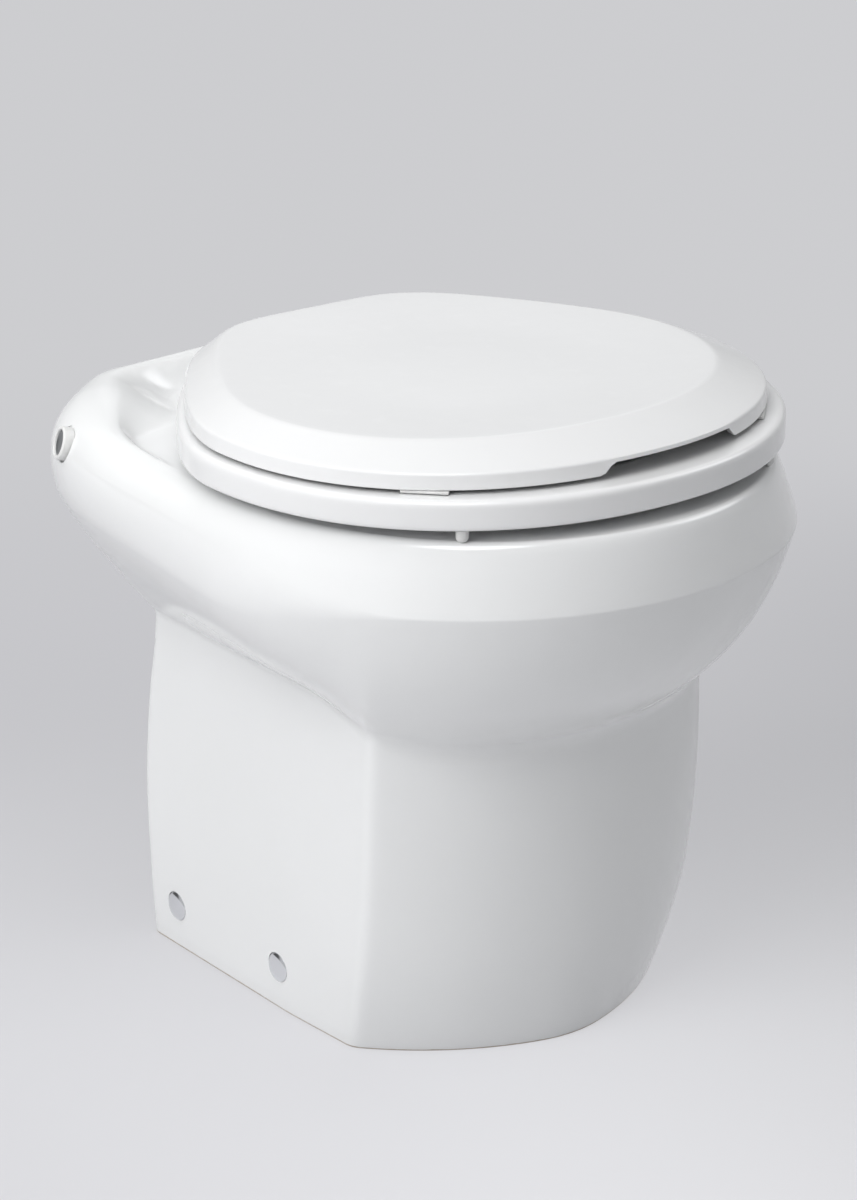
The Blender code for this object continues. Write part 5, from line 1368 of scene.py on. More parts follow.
@dataclass
class Casting:
    """The one-piece china body: pedestal, underside, band, rim, ridge, bowl and cavity."""

    belt_half_width: float = 0.188
    belt_front: float = 0.187
    belt_rear: float = 0.222
    belt_height: float = 0.296
    belt_rise: float = 0.012
    rim: float = RIM
    ridge: float = 0.354
    ridge_end_share: float = 0.82
    band_inset: float = 0.016
    side_roll: float = 0.026
    crest_rear: float = 0.203
    crest_end_x: float = 0.136
    crest_end_y: float = 0.172
    deck_half_width: float = 0.158
    deck_front: float = 0.160
    foot_rear: float = 0.181
    foot_side: float = 0.155
    bay_half_width: float = 0.088
    wall: float = 0.010
    deck_wall: float = 0.012
    pedestal_front: float = 0.115
    corner_x: float = 0.1215
    corner_y: float = 0.067
    pedestal_half_width: float = 0.122
    pedestal_rear: float = 0.165
    pedestal_middle: float = 0.020
    prow_half_width: float = 0.010
    facet_bulge: float = 0.0095
    corner_soft: float = 0.0040
    prow_soft: float = 0.0100
    junction_front: float = 0.195
    junction_rear: float = 0.215
    fillet: float = 0.007
    bowl_half_width: float = 0.134
    bowl_front: float = 0.146
    bowl_rear: float = 0.126
    bowl_edge: float = 0.005
    bowl_floor: float = 0.176
    outlet_y: float = 0.084
    outlet_bore: float = 0.019
    spigot_radius: float = 0.026
    spigot_bottom: float = 0.141
    foot_round: float = 0.0016
    junction_side_round: float = 0.0035
    junction_front_round: float = 0.0100
    belt_front_round: float = 0.0010
    belt_rear_round: float = 0.016
    crest_round: float = 0.004
    slope_round: float = 0.002
    bowl_round: float = 0.004
    bore_round: float = 0.001
    root_round: float = 0.002
    ceiling_round: float = 0.003
    cavity_round: float = 0.006
    arch_half_width: float = 0.092
    arch_height: float = 0.176
    arch_radius: float = 0.040
    arch_depth: float = 0.0315
    cap_seat_radius: float = 0.0093
    cap_pocket_radius: float = 0.0075
    cap_pocket_depth: float = 0.004
    cap_screw_radius: float = 0.0032
    cap_screw_depth: float = 0.014
    button_seat_radius: float = 0.0113
    button_hole_radius: float = 0.0095
    button_nut_radius: float = 0.0128
    button_hole_depth: float = 0.01504
    button_reach: float = 0.008
    stud_hole: float = 0.006
    spud_x: float = -0.030
    spud_z: float = 0.296
    spud_hole: float = 0.0068

    HEIGHT_SHARES = (0.0, 0.26, 0.52, 0.78, 1.0)
    FRONT_SHARES = (0.870, 0.955, 0.992, 1.0, 0.985)
    CORNER_X_SHARES = (0.940, 0.988, 1.0, 1.0, 0.990)
    CORNER_Y_SHARES = (0.56, 0.82, 0.94, 0.99, 1.0)
    SIDE_SHARES = (0.965, 0.992, 1.0, 1.0, 0.985)
    REAR_SHARES = (1.0, 1.0, 1.0, 0.965, 0.930)
    BAND_INSET_SHARES = (0.20, 0.43, 0.57, 0.67)
    BAND_HEIGHT_SHARES = (0.36, 0.72, 0.90, 0.975)
    ROLL_INSET_SHARES = (0.06, 0.24, 0.50, 0.78)
    ROLL_HEIGHT_SHARES = (0.34, 0.68, 0.88, 0.975)
    BOWL_DEPTH_SHARES = (0.0, 0.22, 0.47, 0.72, 0.91, 1.0)
    BOWL_REACH_SHARES = (0.0, 0.035, 0.15, 0.40, 0.74, 0.97)
    CREST_SIDE_SHARE = 0.8
    CREST_REAR_SHARE = 0.86
    CREST_FILLETS = (0.040, 0.060, 0.020)
    DECK_SIDE_SHARES = (0.66, 0.80, 0.87)
    DECK_NARROW_SHARE = 0.92
    BAY_MOUTH_SHARE = 1.15
    DECK_FILLETS = (0.040, 0.018, 0.030, 0.015)
    BELT_POWER = 5.0
    OPENING_POWER = 2.4
    UNDERSIDE_ROWS = 24
    UNDERSIDE_SIDE_POWER = 1.85
    UNDERSIDE_REAR_POWER = 1.42
    UNDERCUT_POWER = 2.7
    UNDERCUT_SHARE = 0.44
    CAVITY_SHARES = (0.77, 0.27)
    CAVITY_LEVELS = (4, 2)
    NECK_DROP = 0.5
    ROOT_DROP = 1.2
    BACK_STEPS = (5, 3, 1)
    BACK_TOP_REACH = 1.15
    SHELF_BLEND = 0.75
    SHELF_DEPTH = 0.2
    ROOF_DEPTH = 0.35
    RING_STEPS = 8
    ARC_STEPS = 48
    SLOPE_ROWS = 7
    ARCH_STEPS = 14
    POCKET_SIDES = 40
    SOCKET_SIDES = 48
    CREASE_ANGLE = 40.0

    # Where one form passes into another, in degrees from the front
    JUNCTION_FADE = (30.0, 80.0)
    JUNCTION_ROUND_FADE = (40.0, 75.0)
    UNDERCUT_FADE = (55.0, 95.0)
    UNDERSIDE_FADE = (85.0, 135.0)
    BELT_FADE = (60.0, 130.0)
    BELT_ROUND_FADE = (46.0, 85.0)
    ROLL_FADE = (50.0, 105.0)
    RIDGE_FADE = (110.0, 144.0)
    CROWN_FADE = (150.0, 178.0)

    def __post_init__(self) -> None:
        """Work out the outlines that several rings share."""
        self.angles = fine_angles(self.RING_STEPS)
        self.half = fold(self.angles)
        self.belt = egg(self.belt_half_width, self.belt_front, self.belt_rear, self.BELT_POWER)
        self.opening = egg(
            self.bowl_half_width, self.bowl_front, self.bowl_rear, self.OPENING_POWER
        )
        self.outlet = circle(self.outlet_bore)
        self.spigot = circle(self.spigot_radius)
        side = self.belt_half_width - self.side_roll
        places = (
            (side, self.foot_side * self.CREST_SIDE_SHARE),
            (self.crest_end_x, self.crest_end_y),
            (self.crest_end_x * self.CREST_REAR_SHARE, self.crest_rear),
        )
        front = self.belt_front - self.band_inset
        self.crest = self.cornered(front, places, self.CREST_FILLETS)
        wide, narrow, mouth = (self.foot_side * share for share in self.DECK_SIDE_SHARES)
        places = (
            (self.deck_half_width, wide),
            (self.deck_half_width * self.DECK_NARROW_SHARE, narrow),
            (self.bay_half_width * self.BAY_MOUTH_SHARE, mouth),
            (self.bay_half_width, self.foot_rear),
        )
        self.deck = self.cornered(self.deck_front, places, self.DECK_FILLETS)

    def cornered(
        self, front: float, places: Sequence[Span], fillets: Sequence[float]
    ) -> Outline:
        """An outline that is an ellipse in front and has rounded corners behind.

        Args:
            front: The reach to the front.
            places: The corners behind as x and y, from the widest one to the last.
            fillets: The corners' radii.

        Returns:
            The outline.
        """
        side, rear = places[0][0], places[-1][1]
        spread = np.linspace(0.0, QUARTER, self.ARC_STEPS, endpoint=False)
        arc = np.column_stack((side * np.sin(spread), -front * np.cos(spread)))
        corners = [(*place, fillet) for place, fillet in zip(places, fillets)]
        tail = filleted([(side, 0.0, 0.0), *corners, (0.0, rear, 0.0)])
        return traced(np.concatenate((arc, tail)), 0.0)

    def pedestal_corners(self, level: int) -> tuple[float, float, float, float, float]:
        """The pedestal's front, corner, side and rear at one of its levels."""
        return (
            self.pedestal_front * self.FRONT_SHARES[level],
            self.corner_x * self.CORNER_X_SHARES[level],
            self.corner_y * self.CORNER_Y_SHARES[level],
            self.pedestal_half_width * self.SIDE_SHARES[level],
            self.pedestal_rear * self.REAR_SHARES[level],
        )

    def pedestal_outline(self, level: int) -> Outline:
        """The pedestal's plan at a level: a soft prow and two bulged facets.

        Args:
            level: The number of the level from the floor.

        Returns:
            The outline, seen from the pedestal's middle.
        """
        front, x, y, side, rear = self.pedestal_corners(level)
        plan = (
            (0.0, -front, 0.0),
            (self.prow_half_width, -front, self.facet_bulge),
            (x, -y, 0.0),
            (side, self.pedestal_middle, 0.0),
            (side, rear, 0.0),
            (0.0, rear, 0.0),
        )
        path = [
            bulged(np.array(here[:2]), np.array(after[:2]), here[2])
            for here, after in zip(plan, plan[1:])
        ]
        soft = eased(np.concatenate(path), self.corner_soft, self.prow_soft)
        return traced(soft, self.pedestal_middle)

    def pedestal_angles(self, level: int) -> np.ndarray:
        """The directions of a level, shifted so that the same ones meet its corners.

        Args:
            level: The number of the level from the floor.

        Returns:
            The directions, going round once.
        """
        _, x, y, side, rear = self.pedestal_corners(level)
        known = np.radians((0.0, FRONT_CORNER, REAR_CORNER, 180.0))
        corners = (
            0.0,
            math.atan2(x, y + self.pedestal_middle),
            math.atan2(side, self.pedestal_middle - rear),
            math.pi,
        )
        half = np.interp(self.half, known, corners)
        return np.where(self.angles <= math.pi, half, TURN - half)

    def junction(self, angle: np.ndarray) -> np.ndarray:
        """Where the pedestal meets the underside: lower in front."""
        share = smooth(angle, *self.JUNCTION_FADE)
        return blend(self.junction_front, self.junction_rear, share)

    def belt_line(self, angle: np.ndarray) -> np.ndarray:
        """The height of the belt."""
        return self.belt_height + self.belt_rise * smooth(angle, *self.BELT_FADE)

    def crest_line(self, angle: np.ndarray) -> np.ndarray:
        """The height of the crest: the rim in front, the ridge behind."""
        crown = blend(self.ridge_end_share, 1.0, smooth(angle, *self.CROWN_FADE))
        return blend(self.rim, self.ridge, smooth(angle, *self.RIDGE_FADE) * crown)

    def pedestal_ring(self, level: int, depth: float) -> np.ndarray:
        """One ring of the pedestal or of its cavity.

        Args:
            level: The number of the level from the floor.
            depth: How far inside the outer face it lies.

        Returns:
            The ring.
        """
        outline = inset(self.pedestal_outline(level), depth)
        rows = ring(outline, 0.0, self.pedestal_angles(level), self.pedestal_middle)
        rows[:, 2] = (self.junction(self.half) - self.fillet) * self.HEIGHT_SHARES[level]
        return rows

    def foot_ring(self, depth: float) -> np.ndarray:
        """One ring of the pedestal's foot, at a depth inside its face."""
        outline = inset(self.pedestal_outline(0), depth)
        return ring(outline, 0.0, self.pedestal_angles(0), self.pedestal_middle)

    def underside_ring(self, share: float, depth: float) -> np.ndarray:
        """One ring of the underside, or of the cavity's wall behind it.

        Args:
            share: The share of the way up from the junction to the belt.
            depth: How far inside the outer face it lies.

        Returns:
            The ring.
        """
        low = self.pedestal_ring(len(self.HEIGHT_SHARES) - 1, depth)
        high = ring(inset(self.belt, depth), self.belt_line, self.angles)
        behind = smooth(self.half, *self.UNDERSIDE_FADE)
        beside = smooth(self.half, *self.UNDERCUT_FADE)
        power = blend(self.UNDERSIDE_SIDE_POWER, self.UNDERSIDE_REAR_POWER, behind)
        power = blend(self.UNDERCUT_POWER, power, beside)
        straight = self.UNDERCUT_SHARE * (1.0 - beside)
        reach = blend(1.0 - (1.0 - share) ** power, share, straight)
        point = blend(low, high, reach[:, None])
        point[:, 2] = blend(low[:, 2] + self.fillet, high[:, 2], share)
        return point

    def band_ring(self, step: int) -> np.ndarray:
        """One ring between the belt and the crest, crisp in front and soft behind.

        Args:
            step: The number of the ring from the belt.

        Returns:
            The ring.
        """
        roll = smooth(self.half, *self.ROLL_FADE)
        inward = blend(self.BAND_INSET_SHARES[step], self.ROLL_INSET_SHARES[step], roll)
        upward = blend(self.BAND_HEIGHT_SHARES[step], self.ROLL_HEIGHT_SHARES[step], roll)
        radius = blend(self.belt(self.angles), self.crest(self.angles), inward)
        height = blend(self.belt_line(self.half), self.crest_line(self.half), upward)
        y = MIDDLE_Y - radius * np.cos(self.angles)
        return np.column_stack((radius * np.sin(self.angles), y, height))

    def slope_ring(self, share: float) -> np.ndarray:
        """One ring of the slope from the crest to the deck.

        Args:
            share: The share of the way down.

        Returns:
            The ring.
        """
        rows = ring(mixed(self.crest, self.deck, share), self.crest_line, self.angles)
        rows[:, 2] = blend(rows[:, 2], self.rim, swell(share))
        return rows

    def bowl_ring(self, step: int, wall: float) -> np.ndarray:
        """One ring of the bowl's inside, or of its back at a wall's thickness.

        Args:
            step: The number of the step from the rim.
            wall: The wall's thickness, or zero for the inside.

        Returns:
            The ring.
        """
        reach = self.BOWL_REACH_SHARES[step]
        top = self.rim - self.bowl_edge
        height = blend(top, self.bowl_floor, self.BOWL_DEPTH_SHARES[step]) - wall * reach
        outline = grown(mixed(self.opening, self.outlet, reach), wall)
        return ring(outline, height, self.angles, self.outlet_y * reach)

    def stretches(self) -> list[Stretch]:
        """The whole section: round the outside, the bowl and the cavity.

        Returns:
            The runs in order, from the foot's inner edge.
        """
        angles, wall = self.angles, self.wall
        ceiling = self.rim - self.deck_wall

        def pipe(outline: Outline, height: float) -> np.ndarray:
            """A ring round the outlet."""
            return ring(outline, height, angles, self.outlet_y)

        foot = self.foot_ring(0.0)
        shares = np.linspace(0.0, 1.0, self.UNDERSIDE_ROWS)
        underside = [self.underside_ring(share, 0.0) for share in shares]
        pedestal = [self.pedestal_ring(k, 0.0) for k in range(len(self.HEIGHT_SHARES))]
        crest = ring(self.crest, self.crest_line, angles)
        band = [self.band_ring(k) for k in range(len(self.BAND_INSET_SHARES))]
        slope = [self.slope_ring(share) for share in np.linspace(0.0, 1.0, self.SLOPE_ROWS)]
        lip = ring(self.opening, self.rim, angles)
        bowl = [self.bowl_ring(k, 0.0) for k in range(len(self.BOWL_DEPTH_SHARES))]
        neck = pipe(self.outlet, self.bowl_floor - wall * self.NECK_DROP)
        bore = pipe(self.outlet, self.spigot_bottom)
        spigot = pipe(self.spigot, self.spigot_bottom)
        root = pipe(self.spigot, self.bowl_floor - wall * self.ROOT_DROP)
        back = [self.bowl_ring(k, wall) for k in self.BACK_STEPS]
        over = ring(grown(self.opening, wall * self.BACK_TOP_REACH), ceiling, angles)
        shelf = inset(mixed(self.crest, self.deck, self.SHELF_BLEND), wall * self.SHELF_DEPTH)
        shelf = ring(shelf, ceiling, angles)
        roof = ring(inset(self.crest, wall * self.ROOF_DEPTH), self.crest_line, angles)
        roof[:, 2] -= self.deck_wall
        inner_belt = ring(inset(self.belt, wall), self.belt_line, angles)
        inner = [self.underside_ring(share, wall) for share in self.CAVITY_SHARES]
        inner += [self.pedestal_ring(k, wall) for k in self.CAVITY_LEVELS]
        heel = self.foot_ring(wall)
        front = 1.0 - smooth(self.half, *self.JUNCTION_ROUND_FADE)
        junction = blend(self.junction_side_round, self.junction_front_round, front)
        rear = smooth(self.half, *self.BELT_ROUND_FADE)
        crease = blend(self.belt_front_round, self.belt_rear_round, rear)
        return [
            Stretch([heel, foot], 2, self.foot_round, 4),
            Stretch([*pedestal, underside[0]], 14, junction, 10),
            Stretch(underside, 26, crease, 8),
            Stretch([underside[-1], *band, crest], 20, self.crest_round, 6),
            Stretch([crest, *slope[1:]], 16, self.slope_round, 3),
            Stretch([slope[-1], lip], 5, self.bowl_edge, 8),
            Stretch([lip, *bowl], 26, self.bowl_round, 4),
            Stretch([bowl[-1], neck], 2, self.bore_round, 2),
            Stretch([neck, bore], 2, self.bore_round, 3),
            Stretch([bore, spigot], 1, self.bore_round, 3),
            Stretch([spigot, root], 3, self.root_round, 3),
            Stretch([root, *back], 6, self.bowl_round, 3),
            Stretch([back[-1], over], 1, self.ceiling_round, 3),
            Stretch([over, shelf], 2, self.ceiling_round, 3),
            Stretch([shelf, roof], 2, self.ceiling_round, 3),
            Stretch([roof, inner_belt], 3, self.cavity_round, 4),
            Stretch([inner_belt, *inner, heel], 10, self.bore_round, 2),
        ]

    def cutters(self, button: "FlushButton", hinge: "Hinge") -> bpy.types.Object:
        """The openings of the casting, as closed bodies that don't touch.

        Args:
            button: The button, which sits in the ridge.
            hinge: The hinge, whose studs go through the deck.

        Returns:
            One object of all the bodies.
        """
        bm = bmesh.new()
        rear = self.pedestal_rear + MIDDLE_Y
        low = (-self.arch_half_width, rear - self.arch_depth, -OVERRUN)
        high = (self.arch_half_width, rear + OVERRUN, self.arch_height)
        edges = {edge for vert in block(bm, low, high) for edge in vert.link_edges}
        top = [
            edge
            for edge in edges
            if all(vert.co.z > 0.0 for vert in edge.verts)
            and abs(edge.verts[0].co.y - edge.verts[1].co.y) > OVERRUN
        ]
        bevelled(bm, top, self.arch_radius, self.ARCH_STEPS)
        pocket = stepped(
            (-self.cap_screw_depth, -self.cap_pocket_depth, 0.0, OVERRUN),
            (self.cap_screw_radius, self.cap_pocket_radius, self.cap_seat_radius),
        )
        for side in Side:
            low = self.rim - self.deck_wall - OVERRUN
            start = (side.value * hinge.x, hinge.y, low)
            rod(bm, self.stud_hole, start, UP, self.deck_wall + 2.0 * OVERRUN)
            for end in ENDS:
                spun(bm, pocket, side.cap_seat(end), side.outward, self.POCKET_SIDES)
        start = (self.spud_x, self.bowl_rear - 3.0 * self.wall + MIDDLE_Y, self.spud_z)
        rod(bm, self.spud_hole, start, REARWARD, 5.0 * self.wall)
        back = -self.button_hole_depth
        socket = stepped(
            (back - self.button_reach, back, 0.0, self.button_reach),
            (self.button_nut_radius, self.button_hole_radius, self.button_seat_radius),
        )
        spun(bm, socket, button.seat, button.axis, self.SOCKET_SIDES)
        return finished("casting_openings", bm)

    def build(self, button: "FlushButton", hinge: "Hinge") -> bpy.types.Object:
        """Make the casting's skin and cut its openings.

        Args:
            button: The button, which sits in the ridge.
            hinge: The hinge, whose studs go through the deck.

        Returns:
            The piece.
        """
        piece = woven("casting_skin", section_rows(self.stretches(), True))
        cut(piece, self.cutters(button, hinge), "DIFFERENCE")
        shade(piece, self.CREASE_ANGLE)
        return dress(piece, "bowl", "china", "bowl_body")


@dataclass
class Hinge:
    """The seat and lid hinges: posts on the deck, with ears and lugs between them."""

    x: float = 0.068
    y: float = 0.157 + MIDDLE_Y
    z: float = 0.351
    post_width: float = 0.013
    side_gap: float = 0.0006
    lug_width: float = 0.010
    ear_inner: float = 0.013
    ear_outer: float = 0.011
    ear_radius: float = 0.0075
    ear_reach: float = 0.024
    lug_radius: float = 0.007
    lug_depth: float = 0.008
    pin_radius: float = 0.0035
    pin_grip: float = 0.009
    notch_back: float = 0.0105
    post_depth: float = 0.013
    base_radius: float = 0.014
    base_height: float = 0.003
    base_soft: float = 0.001
    stud_radius: float = 0.004
    stud_length: float = 0.030
    edge_soft: float = 0.0006
    barrel_soft: float = 0.0008
    rim: float = RIM

    @property
    def spans(self) -> dict[str, Span]:
        """Where each part of a hinge lies across, for the positive side.

        Returns:
            The ends of the post, the lid's lug and the seat's two ears, by name.
        """
        post = (self.x - self.post_width / 2.0, self.x + self.post_width / 2.0)
        lug = (post[0] - self.side_gap - self.lug_width, post[0] - self.side_gap)
        inner = (lug[0] - self.side_gap - self.ear_inner, lug[0] - self.side_gap)
        outer = (post[1] + self.side_gap, post[1] + self.side_gap + self.ear_outer)
        return {"post": post, "lug": lug, "inner": inner, "outer": outer}

    def slab(
        self, bm: bmesh.types.BMesh, side: Side, span: Span, depth: Span, height: Span
    ) -> None:
        """Add a block with softened edges beside the hinge's axis.

        Args:
            bm: The mesh to add to.
            side: The side of the object.
            span: Its ends across, for the positive side.
            depth: Its front and rear, from the axis.
            height: Its bottom and top.
        """
        left, right = side.across(span)
        low = Vector((left, self.y + depth[0], height[0]))
        high = Vector((right, self.y + depth[1], height[1]))
        block(bm, low, high, self.edge_soft)

    def barrel(
        self, bm: bmesh.types.BMesh, side: Side, span: Span, radius: float, soft: float = 0.0
    ) -> None:
        """Add a round barrel on the hinge's axis.

        Args:
            bm: The mesh to add to.
            side: The side of the object.
            span: Its ends across, for the positive side.
            radius: Its radius.
            soft: The fillet at its ends, or zero.
        """
        low, high = side.across(span)
        rod(bm, radius, Vector((low, self.y, self.z)), ACROSS, high - low, soft)

    def hang(
        self,
        piece: bpy.types.Object,
        spans: Sequence[Span],
        reach: float,
        height: Span,
        radius: float,
        hole: Span,
    ) -> None:
        """Give a piece its eyes on the hinge's axis, with the holes for the pins.

        Args:
            piece: The piece that hangs on the hinge.
            spans: The ends of each eye across, for the positive side.
            reach: How far the eyes' arms reach to the front.
            height: The arms' bottom and top.
            radius: The eyes' radius.
            hole: The ends of the pin's hole across, for the positive side.
        """
        arms, eyes, holes = (bmesh.new() for _ in range(3))
        for side in Side:
            for low, high in spans:
                slim = (low + GAP / 2.0, high - GAP / 2.0)
                self.slab(arms, side, slim, (-reach, 0.0), height)
                self.barrel(eyes, side, (low, high), radius, self.barrel_soft)
            self.barrel(holes, side, hole, self.pin_radius + PIN_GAP)
        joined(piece, {"hinge_arms": arms, "hinge_eyes": eyes}, {"pin_holes": holes})

    def posts(self) -> None:
        """Make the two plated posts with their studs."""
        span = self.spans["post"]
        half = self.post_depth / 2.0
        deck = self.rim + GAP
        for side in Side:
            x = side.value * self.x
            body, head, base, stud, hole = (bmesh.new() for _ in range(5))
            low = deck + self.base_height / 2.0
            self.slab(body, side, span, (-half, half), (low, self.z))
            self.barrel(head, side, span, half, self.barrel_soft)
            start = Vector((x, self.y, deck))
            rod(base, self.base_radius, start, UP, self.base_height, self.base_soft)
            start = Vector((x, self.y, self.rim - self.stud_length))
            length = self.stud_length + self.base_height / 2.0
            rod(stud, self.stud_radius, start, UP, length, self.edge_soft)
            wide = (span[0] - OVERRUN, span[1] + OVERRUN)
            self.barrel(hole, side, wide, self.pin_radius + GAP)
            name = f"hinge_post_{side.word}"
            piece = finished(f"{name}_fine", body)
            joined(piece, {"head": head, "base": base, "stud": stud}, {"hole": hole})
            dress(piece, "bowl", "chrome", name)


@dataclass
class Seat:
    """The seat ring, well rounded, with its underside recessed between two ribs."""

    half_width: float = 0.178
    front: float = 0.171
    rear: float = 0.166
    hole_half_width: float = 0.110
    hole_front: float = 0.130
    hole_rear: float = 0.116
    bottom: float = 0.3425
    top: float = 0.3595
    crown: float = 0.0018
    recess: float = 0.004
    rib: float = 0.012
    rib_round: float = 0.0008
    recess_round: float = 0.0010
    bottom_round: float = 0.0030
    top_round: float = 0.0045
    hole_round: float = 0.0110
    hole_foot_round: float = 0.0025
    ear_share: float = 0.93
    bumper_radius: float = 0.0037
    bumper_share: float = 0.92
    bumper_round: float = 0.0028
    bumper_soft: float = 0.0005
    bumper_angles: Span = (39.0, 128.0)
    bumper_sides: int = 40
    rim: float = RIM

    SIDES = 240
    CORNER_STEPS = 7

    def __post_init__(self) -> None:
        """Work out the outlines."""
        self.angles = np.linspace(0.0, TURN, self.SIDES, endpoint=False)
        self.outer = squared(self.half_width, self.front, self.rear)
        self.hole = egg(self.hole_half_width, self.hole_front, self.hole_rear, 2.0)

    def stretches(self) -> list[Stretch]:
        """The ring's section as runs with rounded corners.

        Returns:
            The runs in order, from the recess round the outside.
        """
        outer, inner = grown(self.outer, -self.rib), grown(self.hole, self.rib)
        low, roof = self.bottom, self.bottom + self.recess
        # Each corner's outline and height, the rows up to it and its rounding
        spots = (
            (outer, roof, 1, self.recess_round),
            (outer, low, 1, self.rib_round),
            (self.outer, low, 4, self.bottom_round),
            (self.outer, self.top, 5, self.top_round),
            (self.hole, self.top - self.crown, 14, self.hole_round),
            (self.hole, low, 5, self.hole_foot_round),
            (inner, low, 4, self.rib_round),
            (inner, roof, 1, self.recess_round),
        )
        rings = [ring(outline, height, self.angles) for outline, height, _, _ in spots]
        made = [
            Stretch([rings[k - 1], rings[k]], *spots[k][2:], self.CORNER_STEPS)
            for k in range(len(spots))
        ]
        return made[1:] + made[:1]

    def build(self, hinge: Hinge) -> bpy.types.Object:
        """Make the ring with its hinge ears.

        Args:
            hinge: The hinge that it hangs on.

        Returns:
            The piece.
        """
        piece = woven("seat_ring_fine", section_rows(self.stretches(), True))
        notches = bmesh.new()
        inner, outer = hinge.spans["inner"], hinge.spans["outer"]
        for side in Side:
            left, right = side.across((inner[1] - GAP, outer[0] + GAP))
            low = Vector((left, hinge.y - hinge.notch_back, self.bottom - OVERRUN))
            high = Vector((right, self.rear + MIDDLE_Y + OVERRUN, self.top + OVERRUN))
            block(notches, low, high)
        cut(piece, finished("hinge_notches", notches), "DIFFERENCE")
        tall = hinge.ear_radius * self.ear_share
        height = (hinge.z - tall, hinge.z + tall)
        grip = hinge.pin_grip + GAP
        hole = (inner[1] - grip, outer[0] + grip)
        hinge.hang(piece, (inner, outer), hinge.ear_reach, height, hinge.ear_radius, hole)
        return dress(piece, "seat", "seat_white", "seat_ring")

    def bumpers(self) -> None:
        """Make the four round pads under the ring."""
        low = self.rim + GAP
        top = self.bottom - GAP
        radius = self.bumper_radius
        pad = (
            (0.0, top, 0.0),
            (radius, top, self.bumper_soft),
            (radius * self.bumper_share, low, self.bumper_round),
            (0.0, low, 0.0),
        )
        for end, degrees in zip(ENDS, self.bumper_angles):
            for side in Side:
                at = on_edge(self.outer, degrees, self.rib / 2.0, side)
                name = f"seat_bumper_{end}_{side.word}"
                piece = turned(f"{name}_fine", softened(pad), at, UP, self.bumper_sides)
                dress(piece, "seat", "pale_rubber", name)


